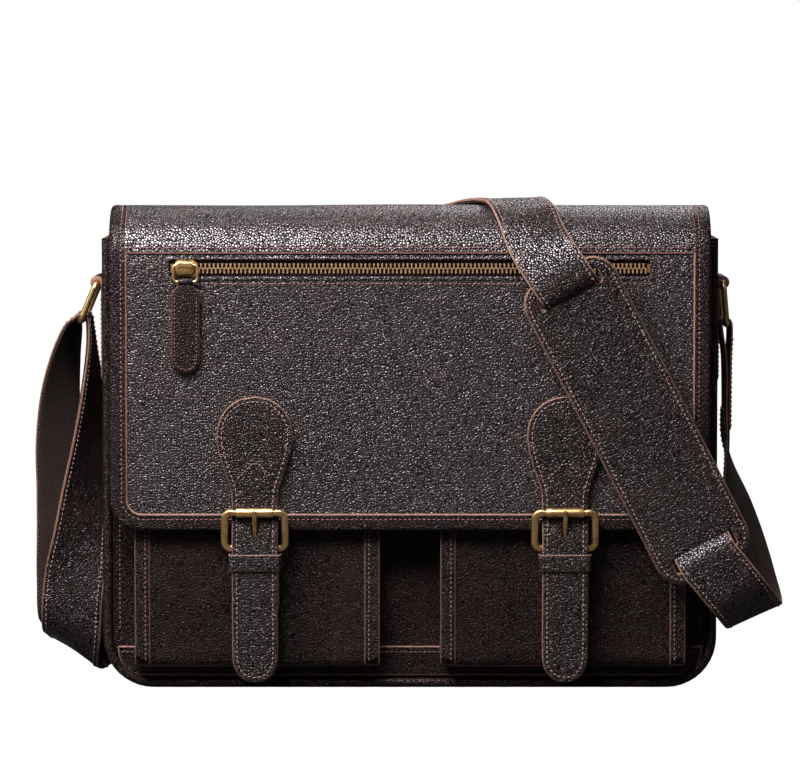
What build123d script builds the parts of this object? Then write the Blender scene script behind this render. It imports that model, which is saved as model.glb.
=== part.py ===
from build123d import *
from math import sin, cos, radians, sqrt
import os

# Leather messenger satchel with a buckled front flap and a shoulder strap draped across it.
# Units are millimetres, +Z is up and -Y is the front. Left is -X and right is +X. The origin
# is on the floor, under the centre of the main compartment.

# --- driving dimensions -------------------------------------------------------------------
half_w = 190.0          # outer face of the side gussets
body_top = 281.0        # rim of the main compartment
front_y = -38.0         # outer face of the front panel
back_y = 38.0           # outer face of the back panel
leather = 2.0           # leather ply
gap = 0.05              # clearance between neighbouring pieces
corner_r = 28.0         # lower corner of the gusset strip

flap_front = -58.0      # outer face of the flap's front
flap_crown = 300.0      # highest point of the flap
flap_bottom = 100.0
flap_half_w = 186.0
flap_round = 34.0       # radius over the front top edge
bind_w = 10.0           # binding width
hinge_y = 38.0          # back end of the flap's crown
hinge_z = 286.5         # height of the flap's outer face there

pocket_y = -52.0        # outer face of the front pockets
buckle_x = 96.0         # closing straps, left and right of the centre
snap_z = 55.0           # magnetic snaps behind the closing straps

ring_x, ring_z = 196.1, 252.5       # ring bar held in the gusset tab
ring_wire = 1.9
ring_drop = 26.3
ring_lean_left, ring_lean_right = 23.0, 5.0

strap_w = 38.0          # shoulder strap
cut_w = 400             # X length of cutting boxes, wider than the bag's body

sides = ((-1, "left"), (1, "right"))
os.makedirs("parts", exist_ok=True)


# --- helpers ------------------------------------------------------------------------------
def save(builder, name):
    builder.part.label = name
    export_step(builder.part, "parts/" + name + ".step")


def xz_at(y):
    """Upright plane at y. Its local Y is up, and a positive extrusion goes forward (-Y)."""
    return Plane.XZ.offset(-y)


def mid(a, b):
    return (a + b) / 2


def wire_loop(name, plane, half_width, reach, bend_r, wire_r):
    """Closed rectangle of round wire. The plane's origin is the middle of its first bar, which
    runs along the plane's X, and the opposite bar lies at local Y = reach."""
    with BuildPart() as loop:
        with BuildLine(plane) as path:
            Polyline((0, 0), (half_width, 0), (half_width, reach),
                     (-half_width, reach), (-half_width, 0), close=True)
            corners = path.vertices().filter_by(
                lambda v: (Vector(v.X, v.Y, v.Z) - plane.origin).length > 3)
            fillet(corners, bend_r)
        with BuildSketch(Plane(plane.origin, x_dir=(0, 0, 1), z_dir=plane.x_dir)):
            Circle(wire_r)
        sweep()
    save(loop, name)


# --- main compartment ---------------------------------------------------------------------
panel_half_w, panel_bottom, panel_corner_r = 185.6, 6.2, 23
gusset_half_d = back_y - leather - gap
floor_half_w = half_w - corner_r    # where the gussets' lower corners meet the floor


def body_panel(name, outer_y, outward):
    """Front or back panel. Outward is 1 when its outer face looks forward, -1 for back."""
    with BuildPart() as panel:
        with BuildSketch(xz_at(outer_y)) as face:
            with Locations((0, mid(body_top, panel_bottom))):
                Rectangle(2 * panel_half_w, body_top - panel_bottom)
            fillet(face.vertices().group_by(Axis.Y)[0], panel_corner_r)
        extrude(amount=-outward * leather)
    save(panel, name)


body_panel("front_panel", front_y, 1)
body_panel("back_panel", back_y, -1)


def gusset(side, tag):
    inner_x = half_w - leather
    with BuildPart() as strip:
        with BuildSketch(xz_at(gusset_half_d)):
            with BuildLine():
                Line((floor_half_w, 0), (floor_half_w, leather))
                RadiusArc((floor_half_w, leather), (inner_x, corner_r), leather - corner_r)
                Line((inner_x, corner_r), (inner_x, body_top))
                Line((inner_x, body_top), (half_w, body_top))
                Line((half_w, body_top), (half_w, corner_r))
                RadiusArc((half_w, corner_r), (floor_half_w, 0), corner_r)
            make_face()
        extrude(amount=2 * gusset_half_d)
        if side < 0:
            mirror(about=Plane.YZ, mode=Mode.REPLACE)
    save(strip, "gusset_" + tag)


for side, tag in sides:
    gusset(side, tag)

with BuildPart() as bottom_panel:
    with Locations((0, 0, leather / 2)):
        Box(2 * (floor_half_w - gap), 2 * gusset_half_d, leather)
save(bottom_panel, "bottom_panel")

# Stiffening board just above the bottom panel.
board_w, board_d, board_t, board_z = 318, 66, 2, 3.6
with BuildPart() as base_board:
    with Locations((0, 0, board_z)):
        Box(board_w, board_d, board_t)
    fillet(base_board.edges().filter_by(Axis.Z), 6)
save(base_board, "base_board")

# Rolled edge piping: runs down one side, under the panel and up the other side.
pipe_r, pipe_bend_r = 2.95, 26
pipe_x, pipe_y, pipe_z = 188.6, 39.0, 3.0


def piping(name, y):
    with BuildPart() as roll:
        with BuildLine(xz_at(y)) as path:
            Polyline((-pipe_x, body_top), (-pipe_x, pipe_z), (pipe_x, pipe_z), (pipe_x, body_top))
            fillet(path.vertices().filter_by(lambda v: v.Z < 10), pipe_bend_r)
        with BuildSketch(Plane((-pipe_x, y, body_top), x_dir=(1, 0, 0), z_dir=(0, 0, -1))):
            Circle(pipe_r)
        sweep()
    save(roll, name)


piping("front_piping", -pipe_y)
piping("back_piping", pipe_y)

# Fabric lining: an open-topped thin liner standing just inside the leather shell.
lining_half_w, lining_half_d, lining_t = 187.2, 35.2, 0.8
lining_bottom, lining_top = 5.2, 278
with BuildPart() as body_lining:
    with BuildSketch(xz_at(-lining_half_d)) as face:
        with Locations((0, mid(lining_top, lining_bottom))):
            Rectangle(2 * lining_half_w, lining_top - lining_bottom)
        fillet(face.vertices().group_by(Axis.Y)[0], 24)
    extrude(amount=-2 * lining_half_d)
    offset(amount=-lining_t, openings=body_lining.faces().sort_by(Axis.Z)[-1])
save(body_lining, "body_lining")

# Padded divider for a computer, standing near the back.
divider_y, divider_t = 18, 6       # front face and thickness
divider_w, divider_h, divider_z = 360, 212, 118
with BuildPart() as laptop_divider:
    with BuildSketch(xz_at(divider_y)) as face:
        with Locations((0, divider_z)):
            Rectangle(divider_w, divider_h)
        fillet(face.vertices(), 22)
    extrude(amount=-divider_t)
    fillet(laptop_divider.faces().filter_by(Axis.Y).edges(), 2)
save(laptop_divider, "laptop_divider")

# Band of leather sewn along the bottom of the front.
band_half_w, band_bottom, band_top, band_t = 182.5, 7.5, 26, 1.35
with BuildPart() as front_bottom_band:
    with BuildSketch(xz_at(front_y - gap)) as face:
        with Locations((0, mid(band_top, band_bottom))):
            Rectangle(2 * band_half_w, band_top - band_bottom)
        fillet(face.vertices().group_by(Axis.Y)[0], 17)
    extrude(amount=band_t)
save(front_bottom_band, "front_bottom_band")

# --- front pockets ------------------------------------------------------------------------
pocket_in, pocket_out = 19.0, 171.0         # inner and outer edges, from the centre
pocket_bottom, pocket_top = 15.0, 126.0
pocket_corner_r = 5
pocket_t = leather - gap
pocket_gusset_back, pocket_gusset_d, pocket_gusset_t = -39.5, 10.5, 2


def pocket(side, tag):
    """Pocket face, and the U-shaped strip that stands it off the body."""
    centre_x = side * mid(pocket_in, pocket_out)
    width = pocket_out - pocket_in
    height = pocket_top - pocket_bottom
    centre_z = mid(pocket_bottom, pocket_top)
    with BuildPart() as face:
        with BuildSketch(xz_at(pocket_y + pocket_t)) as outline:
            with Locations((centre_x, centre_z)):
                Rectangle(width, height)
            fillet(outline.vertices().group_by(Axis.Y)[0], pocket_corner_r)
        extrude(amount=pocket_t)
    save(face, "pocket_" + tag)
    with BuildPart() as strip:
        with BuildSketch(xz_at(pocket_gusset_back)) as outline:
            with Locations((centre_x, centre_z)):
                Rectangle(width, height)
            fillet(outline.vertices().group_by(Axis.Y)[0], pocket_corner_r)
            with Locations((centre_x, centre_z + pocket_gusset_t)):
                Rectangle(width - 2 * pocket_gusset_t, height, mode=Mode.SUBTRACT)
        extrude(amount=pocket_gusset_d)
    save(strip, "pocket_" + tag + "_gusset")


for side, tag in sides:
    pocket(side, tag)

# --- magnetic snaps behind the buckles ----------------------------------------------------
snap_r, snap_edge_r = 8.5, 0.3
snap_shift = 1.5        # both snaps sit this far to the right of their strap's centre
plate_w, plate_h, plate_back_y, plate_t = 18, 9, -48.9, 1.1


def snap_disc(name, centre_x, disc_back_y, disc_front_y):
    with BuildPart() as disc:
        with BuildSketch(xz_at(disc_back_y)):
            with Locations((centre_x, snap_z)):
                Circle(snap_r)
        extrude(amount=disc_back_y - disc_front_y)
        fillet(disc.faces().sort_by(Axis.Y)[0].edges(), snap_edge_r)
    save(disc, name)


for side, tag in sides:
    snap_x = side * buckle_x + snap_shift
    snap_disc("snap_socket_" + tag, snap_x, pocket_y - gap, -53.65)
    snap_disc("snap_stud_" + tag, snap_x, -53.85, -55.55)

with BuildPart() as snap_back_plates:
    with BuildSketch(xz_at(plate_back_y)):
        with Locations(*[(side * buckle_x + snap_shift, snap_z) for side, _ in sides]):
            Rectangle(plate_w, plate_h)
    extrude(amount=plate_t)
save(snap_back_plates, "snap_back_plates")

# --- rings and their tabs on the gussets --------------------------------------------------
tab_bottom, inner_ply_top, outer_ply_top = 189, 281, 250
tab_depth, tab_eye_r = 35, 4.3
ring_half, ring_bend_r = 21.9, 4.2


def ring_tab(side, tag):
    """Two plies on the gusset, with an eye round the ring bar."""
    with BuildPart() as tab:
        with BuildSketch(xz_at(tab_depth / 2)):
            with Locations((half_w + gap + leather / 2, mid(tab_bottom, inner_ply_top))):
                Rectangle(leather, inner_ply_top - tab_bottom)
            with Locations((half_w + gap + 1.5 * leather, mid(tab_bottom, outer_ply_top))):
                Rectangle(leather, outer_ply_top - tab_bottom)
            with Locations((ring_x, ring_z)):
                Circle(tab_eye_r)
                Circle(ring_wire + 0.08, mode=Mode.SUBTRACT)
        extrude(amount=tab_depth)
        if side < 0:
            mirror(about=Plane.YZ, mode=Mode.REPLACE)
    save(tab, "ring_tab_" + tag)


def lower_bar(side, lean):
    """X and Z of the ring bar that carries the shoulder strap."""
    angle = radians(lean)
    return side * (ring_x + ring_drop * sin(angle)), ring_z - ring_drop * cos(angle)


def ring(side, tag, lean):
    """Ring hanging from the tab, its lower bar swung outward by lean degrees."""
    angle = radians(lean)
    plane = Plane((side * ring_x, 0, ring_z), x_dir=(0, 1, 0),
                  z_dir=(cos(angle), 0, side * sin(angle)))
    wire_loop("ring_" + tag, plane, ring_half, -ring_drop, ring_bend_r, ring_wire)


for (side, tag), lean in zip(sides, (ring_lean_left, ring_lean_right)):
    ring_tab(side, tag)
    ring(side, tag, lean)

# --- flap ---------------------------------------------------------------------------------
arc_y = flap_front + flap_round                    # centre of the rounding over the front
arc_z = flap_crown - flap_round
back_fall = flap_crown - hinge_z                   # the crown falls this much to the hinge
crown_r = ((hinge_y - arc_y) ** 2 + back_fall**2) / (2 * back_fall)


def crown_z(y, depth):
    """Height of the crown at y, at a depth under the flap's outer face."""
    return flap_crown - crown_r + sqrt((crown_r - depth) ** 2 - (y - arc_y) ** 2)


def rounding(degrees, depth):
    """Y and Z on the front rounding, at an angle forward from its top."""
    r = flap_round - depth
    return arc_y - r * sin(radians(degrees)), arc_z + r * cos(radians(degrees))


def flap_slab(outer_depth, inner_depth, half_width, bottom_z, end_y=hinge_y):
    """One ply of the flap between two depths under its outer face."""
    k = sqrt(0.5)
    mid_y = mid(end_y, arc_y)
    with BuildSketch(Plane.YZ.offset(-half_width)) as ply:
        with BuildLine():
            for depth in (outer_depth, inner_depth):
                arc_top = (arc_y, flap_crown - depth)
                arc_mid = (arc_y - k * (flap_round - depth), arc_z + k * (flap_round - depth))
                arc_end = (flap_front + depth, arc_z)
                ThreePointArc(
                    (end_y, crown_z(end_y, depth)), (mid_y, crown_z(mid_y, depth)), arc_top)
                ThreePointArc(arc_top, arc_mid, arc_end)
                Line(arc_end, (flap_front + depth, bottom_z))
            Line((flap_front + outer_depth, bottom_z), (flap_front + inner_depth, bottom_z))
            Line((end_y, crown_z(end_y, outer_depth)), (end_y, crown_z(end_y, inner_depth)))
        make_face()
    extrude(ply.sketch, amount=2 * half_width)


def round_flap_corners(builder, radius):
    """Round the two lower corners of a flap ply."""
    fillet(builder.edges().filter_by(Axis.Y).group_by(Axis.Z)[0], radius)


zip_z = 263.0
zip_x0, zip_x1 = -148.0, 148.5
zip_mid_x, zip_len = mid(zip_x0, zip_x1), zip_x1 - zip_x0
zip_opening_h = 11

with BuildPart() as flap_panel:
    flap_slab(0.02, leather, 184.3, 101.7)
    round_flap_corners(flap_panel, 18)
    with Locations((zip_mid_x, -57, zip_z)):
        Box(zip_len, 8, zip_opening_h, mode=Mode.SUBTRACT)
save(flap_panel, "flap_panel")

# Band over the top of the flap; the box trims its front edge to z = 272.
with BuildPart() as flap_top_band:
    flap_slab(-1.35, -0.03, 175.9, 255)
    with Locations((0, -50, 262)):
        Box(cut_w, 30, 20, mode=Mode.SUBTRACT)
save(flap_top_band, "flap_top_band")

# Binding: a thick slab, less the area inside the border and a channel for the flap panel.
with BuildPart() as bind_inner:
    flap_slab(-1.6, 3.6, flap_half_w - bind_w, flap_bottom + bind_w, end_y=hinge_y + 1)
    round_flap_corners(bind_inner, 11)
with BuildPart() as bind_channel:
    flap_slab(0, 2.05, 184.4, 101.6, end_y=hinge_y + 1)
    round_flap_corners(bind_channel, 18.1)
with BuildPart() as flap_binding:
    flap_slab(-1.1, 3.4, flap_half_w, flap_bottom)
    round_flap_corners(flap_binding, 20)
    add(bind_inner.part, mode=Mode.SUBTRACT)
    add(bind_channel.part, mode=Mode.SUBTRACT)
save(flap_binding, "flap_binding")

# Lining of the flap: it stands off behind the zip so that the slider's lower plate has room.
flap_lining_depth, flap_lining_t, flap_lining_half_w = 2.6, 0.8, 175.5
# Hanging part of the lining's front face: y, z.
lining_hang = ((-51, 279), (-51, 150), (-55.4, 125), (-55.4, 111))


def lining_profile(inset):
    """Y and Z points of the lining, from the hinge to the bottom."""
    depth = flap_lining_depth + inset
    points = [(y, crown_z(y, depth)) for y in (38, 22, 6, -10, -24)]
    points += [rounding(degrees, depth) for degrees in (15, 30, 45)]
    return points + [(y + inset, z) for y, z in lining_hang]


with BuildPart() as flap_lining:
    with BuildSketch(Plane.YZ.offset(-flap_lining_half_w)):
        with BuildLine():
            Polyline(*lining_profile(0), *reversed(lining_profile(flap_lining_t)), close=True)
        make_face()
    extrude(amount=2 * flap_lining_half_w)
    round_flap_corners(flap_lining, 12)
save(flap_lining, "flap_lining")

# Strip of the flap that is sewn down on the back.
strip_half_w, strip_bottom, strip_top, strip_t = 184, 248, 280.8, 1.4
with BuildPart() as flap_back_strip:
    with BuildSketch(xz_at(back_y + gap)):
        with Locations((0, mid(strip_bottom, strip_top))):
            Rectangle(2 * strip_half_w, strip_top - strip_bottom)
    extrude(amount=-strip_t)
save(flap_back_strip, "flap_back_strip")

# --- zip: two tapes, two rows of teeth as combs, end stops, slider and pull ---------------
tape_h, tape_from_centre, tape_half_w = 7.3, 2.7, 150.5
tooth_pitch, tooth_w, tooth_h = 2.6, 1.15, 2.4
teeth_back_y, teeth_t = -54.4, 3.2
slider_x = -138.5
teeth_x0 = slider_x + 9         # the first tooth, just right of the slider
tooth_n = int((zip_x1 - 3 - teeth_x0) / tooth_pitch)


def zip_half(tag, up, shift):
    """Tape and teeth above (up = 1) or below (up = -1) the zip's centre line."""
    with BuildPart() as tape:
        flap_slab(2.12, 2.72, tape_half_w, 240)
        with Locations((0, -50, zip_z + up * (tape_from_centre + tape_h / 2))):
            Box(cut_w, 30, tape_h, mode=Mode.INTERSECT)
    save(tape, "zipper_tape_" + tag)
    with BuildPart() as comb:
        with BuildSketch(xz_at(teeth_back_y)):
            with Locations((zip_mid_x, zip_z + up * 1.95)):
                Rectangle(zip_len - 5, 1.3)
            with Locations(*[(teeth_x0 + shift + i * tooth_pitch, zip_z + up * 0.3)
                             for i in range(tooth_n)]):
                Rectangle(tooth_w, tooth_h)
        extrude(amount=teeth_t)
    save(comb, "zipper_teeth_" + tag)


zip_half("upper", 1, 0.0)
zip_half("lower", -1, tooth_pitch / 2)

stop_inset, stop_w, stop_h = 1.2, 1.8, 5.2
with BuildPart() as zipper_stops:
    with BuildSketch(xz_at(-54.6)):
        with Locations((zip_x0 + stop_inset, zip_z), (zip_x1 - stop_inset, zip_z)):
            Rectangle(stop_w, stop_h)
    extrude(amount=2.8)
save(zipper_stops, "zipper_stops")

slider_plate = (14, 10.4, 3)        # width, height, corner radius
slider_plate_t = 1.2
flange_z = 4.7                      # flanges above and below the zip's centre line
lug_w = 9
pull_y, pull_z0, pull_z1 = -60.75, 265.3, 254.8     # the pull ring's upper and lower bars
with BuildPart() as zip_slider:
    # upper plate with its flanges and the lug that holds the pull
    with BuildSketch(xz_at(-57.8)):
        with Locations((slider_x, zip_z)):
            RectangleRounded(*slider_plate)
    extrude(amount=slider_plate_t)
    with BuildSketch(xz_at(-56.2)):
        with Locations((slider_x, zip_z + flange_z), (slider_x, zip_z - flange_z)):
            Rectangle(7.5, 0.9)
    extrude(amount=1.7)
    with BuildSketch(Plane.YZ.offset(slider_x - lug_w / 2)):
        with Locations((pull_y, pull_z0)):
            RectangleRounded(3.9, 4.4, 1.2)
            Circle(1.03, mode=Mode.SUBTRACT)
    extrude(amount=lug_w)
    # lower plate behind the teeth
    with BuildSketch(xz_at(-53.0)):
        with Locations((slider_x, zip_z)):
            RectangleRounded(*slider_plate)
    extrude(amount=slider_plate_t)
save(zip_slider, "zip_slider")

wire_loop("zip_pull_ring", Plane((slider_x, pull_y, pull_z0), x_dir=(1, 0, 0), z_dir=(0, -1, 0)),
          half_width=7.4, reach=pull_z1 - pull_z0, bend_r=2.4, wire_r=0.95)

# Pull tab: a round-ended tongue, a narrower neck and a collar round the ring's lower bar.
pull_w, pull_top, pull_round_z, pull_t = 17.6, 250, 207.3, 2.5
neck_w, neck_h, neck_z = 9.6, 6, 252
with BuildPart() as zip_pull_tab:
    with BuildSketch(xz_at(-59.5)):
        with Locations((slider_x, mid(pull_top, pull_round_z))):
            Rectangle(pull_w, pull_top - pull_round_z)
        with Locations((slider_x, pull_round_z)):
            Circle(pull_w / 2)
        with Locations((slider_x, neck_z)):
            Rectangle(neck_w, neck_h)
    extrude(amount=pull_t)
    with BuildSketch(Plane.YZ.offset(slider_x - neck_w / 2)):
        with Locations((pull_y, pull_z1)):
            Circle(2.2)
    extrude(amount=neck_w)
    with BuildSketch(Plane.YZ.offset(slider_x - 6)):
        with Locations((pull_y, pull_z1)):
            Circle(1.02)
    extrude(amount=12, mode=Mode.SUBTRACT)
save(zip_pull_tab, "zip_pull_tab")

# --- closing straps with roller buckles ---------------------------------------------------
billet_t = 3.0
billet_half_w = 28.5 / 2
head_z, tail_z = 118, 22            # ends of the billet's straight edges
heel_y, heel_z = -59.0, 89.5        # buckle's lower bar
roller_y, roller_z = -64.95, 112.2  # buckle's upper bar, inside the roller
bar_r = 1.75
bar_hole_r = bar_r + 0.06
frame_half_w, frame_bend_r = 18.5, 3.9
roller_r, roller_w = 2.6, 24.8
prong_lean, prong_len, prong_collar_w = 23.95, 26.2, 3
snap_tab_w, snap_tab_top, snap_tab_t, snap_tab_shift = 28, 88, 3.2, 0.8
keeper_z, keeper_h = 76, 10.3

# Billet outline: distance from the strap's centre line, z.
billet_head = ((0, 184), (17.5, 176.5), (23.6, 161), (20.6, 143), (15.6, 128),
               (billet_half_w, head_z))
billet_tail = ((billet_half_w, tail_z), (10.2, 12), (0, 6.2), (-10.2, 12),
               (-billet_half_w, tail_z))
# Back face of the billet, y and z: flat on the flap, out over the heel bar, then hanging.
billet_back = ((-59.15, 190), (-59.15, 109), (-62.5, 97), (-62.5, 79), (-61, 50), (-59.6, 0))
billet_front = [(y - billet_t, z) for y, z in reversed(billet_back)]


def billet_outline(centre_x):
    right, left = centre_x + billet_half_w, centre_x - billet_half_w
    with BuildLine() as edge:
        Spline(*[(centre_x + x, z) for x, z in billet_head], tangents=((1, 0), (0, -1)))
        Line((right, head_z), (right, tail_z))
        Spline(*[(centre_x + x, z) for x, z in billet_tail], tangents=((0, -1), (0, 1)))
        Line((left, tail_z), (left, head_z))
        Spline(*[(centre_x - x, z) for x, z in reversed(billet_head)],
               tangents=((0, 1), (1, 0)))
    make_face(edge.edges())


def billet(centre_x, tag):
    with BuildPart() as strap:
        with BuildSketch(xz_at(-50)):
            billet_outline(centre_x)
        extrude(amount=30)
        with BuildSketch(Plane.YZ.offset(centre_x - 30)):
            with BuildLine():
                Polyline(*billet_back, *billet_front, close=True)
            make_face()
        extrude(amount=60, mode=Mode.INTERSECT)
        # slot for the prong
        with Locations((centre_x, -62, 97)):
            Box(3.4, 12, 13, mode=Mode.SUBTRACT)
    save(strap, "billet_" + tag)


def billet_backing(centre_x, tag):
    """Thin ply between the flap and the billet's head, above the buckle."""
    backing_bottom = 119.9
    with BuildPart() as backing:
        with BuildSketch(xz_at(flap_front - gap)):
            billet_outline(centre_x)
            with Locations((centre_x, backing_bottom / 2)):
                Rectangle(80, backing_bottom, mode=Mode.SUBTRACT)
        extrude(amount=1.05)
    save(backing, "billet_backing_" + tag)


def buckle(centre_x, tag):
    # The frame leans forward so that the strap can pass under the roller.
    lean = Vector(0, roller_y - heel_y, roller_z - heel_z)
    plane = Plane((centre_x, heel_y, heel_z), x_dir=(1, 0, 0),
                  z_dir=Vector(1, 0, 0).cross(lean.normalized()))
    wire_loop("buckle_frame_" + tag, plane, frame_half_w, lean.length, frame_bend_r, bar_r)

    with BuildPart() as roller:
        with BuildSketch(Plane.YZ.offset(centre_x - roller_w / 2)):
            with Locations((roller_y, roller_z)):
                Circle(roller_r)
                Circle(bar_hole_r, mode=Mode.SUBTRACT)
        extrude(amount=roller_w)
    save(roller, "buckle_roller_" + tag)

    # prong: a collar on the heel bar and an arm that rests on the roller
    angle = radians(prong_lean)
    with BuildPart() as prong:
        with BuildSketch(Plane.YZ.offset(centre_x - prong_collar_w / 2)):
            with Locations((heel_y, heel_z)):
                Circle(2.9)
        extrude(amount=prong_collar_w)
        with BuildSketch(Plane((centre_x, heel_y, heel_z), x_dir=(1, 0, 0),
                               z_dir=(0, -sin(angle), cos(angle)))):
            Ellipse(1.45, 1.05)
        extrude(amount=prong_len)
        with BuildSketch(Plane.YZ.offset(centre_x - 3)):
            with Locations((heel_y, heel_z)):
                Circle(bar_hole_r)
        extrude(amount=6, mode=Mode.SUBTRACT)
    save(prong, "buckle_prong_" + tag)


def snap_tab(centre_x, tag):
    """Tab folded round the heel bar, carrying the snap."""
    tab_x = centre_x + snap_tab_shift
    with BuildPart() as tab:
        with BuildSketch(xz_at(-55.7)):
            with Locations((tab_x, mid(snap_z, snap_tab_top))):
                Rectangle(snap_tab_w, snap_tab_top - snap_z)
            with Locations((tab_x, snap_z)):
                Circle(snap_tab_w / 2)
        extrude(amount=snap_tab_t)
        with BuildSketch(Plane.YZ.offset(tab_x - snap_tab_w / 2)):
            with Locations((heel_y, heel_z)):
                Circle(3.35)
        extrude(amount=snap_tab_w)
        with BuildSketch(Plane.YZ.offset(tab_x - 20)):
            with Locations((heel_y, heel_z)):
                Circle(bar_hole_r)
        extrude(amount=40, mode=Mode.SUBTRACT)
        # slot for the prong
        with Locations((centre_x, -59, 90.5)):
            Box(3.6, 12, 9, mode=Mode.SUBTRACT)
    save(tab, "snap_tab_" + tag)


def keeper(centre_x, tag):
    """Leather loop round the strap and the tab, free to slide."""
    outer_front, outer_back = -67.1, -54.25
    inner_front, inner_back = -65.75, -55.45
    with BuildPart() as loop:
        with BuildSketch(Plane.XY.offset(keeper_z)):
            with Locations((centre_x, mid(outer_front, outer_back))):
                RectangleRounded(32.8, outer_back - outer_front, 1.6)
            with Locations((centre_x + 0.1, mid(inner_front, inner_back))):
                RectangleRounded(30.3, inner_back - inner_front, 0.5, mode=Mode.SUBTRACT)
        extrude(amount=keeper_h)
    save(loop, "keeper_" + tag)


for side, tag in sides:
    for build in (billet, billet_backing, buckle, snap_tab, keeper):
        build(side * buckle_x, tag)


# --- shoulder strap -----------------------------------------------------------------------
# Each station in the tables below is a centre (x, y, z) and a width direction.
def ribbon(stations, thickness):
    """Strap lofted through flat cross-sections, each square to the run of the centres."""
    centres = [Vector(*centre) for centre, _ in stations]
    with BuildPart() as strip:
        for i, (centre, width_dir) in enumerate(stations):
            ahead, behind = centres[min(i + 1, len(centres) - 1)], centres[max(i - 1, 0)]
            run = (ahead - behind).normalized()
            across = Vector(*width_dir)
            across = (across - run * across.dot(run)).normalized()
            with BuildSketch(Plane(centre, x_dir=across, z_dir=run)):
                Rectangle(strap_w, thickness)
        loft(ruled=True)
    return strip


def save_trimmed(strip, name, box_centre, box_size):
    """Save a strap with a box cut away from its end."""
    with BuildPart() as trimmed:
        add(strip.part)
        with Locations(box_centre):
            Box(*box_size, mode=Mode.SUBTRACT)
    save(trimmed, name)


def over_crown(x, y, depth):
    return (x, y, crown_z(y, depth))


def over_front(x, degrees, depth):
    return (x, *rounding(degrees, depth))


# From the hinge line over the flap, through the pad's slots and round the loop at the right.
front_stations = [
    ((17, 60, 272.6), (0.86, 0.42, -0.27)),
    (over_crown(29.5, 38, -4.8), (0.86, 0.43, -0.27)),
    (over_crown(40.5, 20, -4.6), (0.86, 0.45, -0.19)),
    (over_crown(49.5, 2, -4.6), (0.85, 0.5, -0.12)),
    (over_crown(57, -14, -5.0), (0.84, 0.54, -0.05)),
    (over_front(60.5, 3, -5.8), (0.83, 0.55, 0.03)),
    (over_front(64, 20, -6.6), (0.82, 0.53, 0.19)),
    (over_front(68.8, 42, -7.2), (0.81, 0.43, 0.39)),
    (over_front(73, 62, -7.6), (0.8, 0.28, 0.53)),
    ((77.5, -67.2, 276), (0.81, 0.15, 0.57)),
    ((82.5, -72.8, 269.5), (0.81, 0.04, 0.58)),
    ((89.5, -75.5, 260.5), (0.82, 0, 0.57)),
    ((95.5, -75.3, 253), (0.83, 0, 0.55)),
    ((100, -70.5, 246), (0.86, 0, 0.51)),
    ((103.6, -65.8, 240), (0.88, 0, 0.47)),
    ((139.8, -65.4, 169.6), (0.889, 0, 0.459)),
    ((174.4, -65.0, 103.5), (0.87, 0, 0.49)),
    ((178.5, -69.0, 95.5), (0.84, 0, 0.54)),
    ((184.5, -73.6, 85), (0.81, 0, 0.59)),
    ((192, -74.6, 75), (0.8, 0, 0.6)),
    ((202, -73, 62.5), (0.82, 0, 0.57)),
    ((209.5, -65, 52.5), (0.86, 0, 0.51)),
    ((213.5, -50, 47.5), (0.91, 0, 0.41)),
    ((214.5, -34, 51), (0.94, 0.1, 0.32)),
    ((214, -22.5, 64), (0.91, 0.38, 0.15)),
    ((211.5, -14, 88), (0.76, 0.65, 0)),
    ((206.5, -7, 114), (0.5, 0.866, 0)),
    ((201.5, -2, 137), (0.15, 0.99, 0)),
    ((200, 0, 150), (0, 1, 0)),
]
# trimmed behind y = 37.9
save_trimmed(ribbon(front_stations, 3.0), "strap_front", (0, 97.9, 280), (cut_w, 120, 200))

# Pad threaded on the strap: a long rounded plate with a slot near each end.
pad_w, pad_len, pad_t, pad_slot_offset = 62, 210, 4.6, 85.5
pad_along = Vector(0.459, 0.009, -0.889).normalized()
pad_across = Vector(0.889, 0, 0.459)
pad_normal = pad_along.cross(pad_across).normalized()
with BuildPart() as shoulder_pad:
    with BuildSketch(Plane((139.8, -69.9, 169.6), x_dir=pad_across, z_dir=pad_normal)):
        RectangleRounded(pad_w, pad_len, 17)
        with Locations((0, pad_slot_offset), (0, -pad_slot_offset)):
            RectangleRounded(50, 27, 3, mode=Mode.SUBTRACT)
    extrude(amount=pad_t / 2, both=True)
    fillet(shoulder_pad.faces().sort_by(Axis.Y)[0].outer_wire().edges(), 1.0)
save(shoulder_pad, "shoulder_pad")

# Sewn end loop hanging from the ring on the right.
end_bottom, end_t = 168, 4.4
bar_x, bar_z = lower_bar(1, ring_lean_right)
with BuildPart() as strap_end_right:
    with BuildSketch(xz_at(strap_w / 2)):
        with Locations((bar_x + 1.5, mid(bar_z, end_bottom))):
            Rectangle(end_t, bar_z - end_bottom)
        with Locations((bar_x, bar_z)):
            Circle(3.9)
            Circle(ring_wire + 0.4, mode=Mode.SUBTRACT)
    extrude(amount=strap_w)
save(strap_end_right, "strap_end_right")

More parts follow.
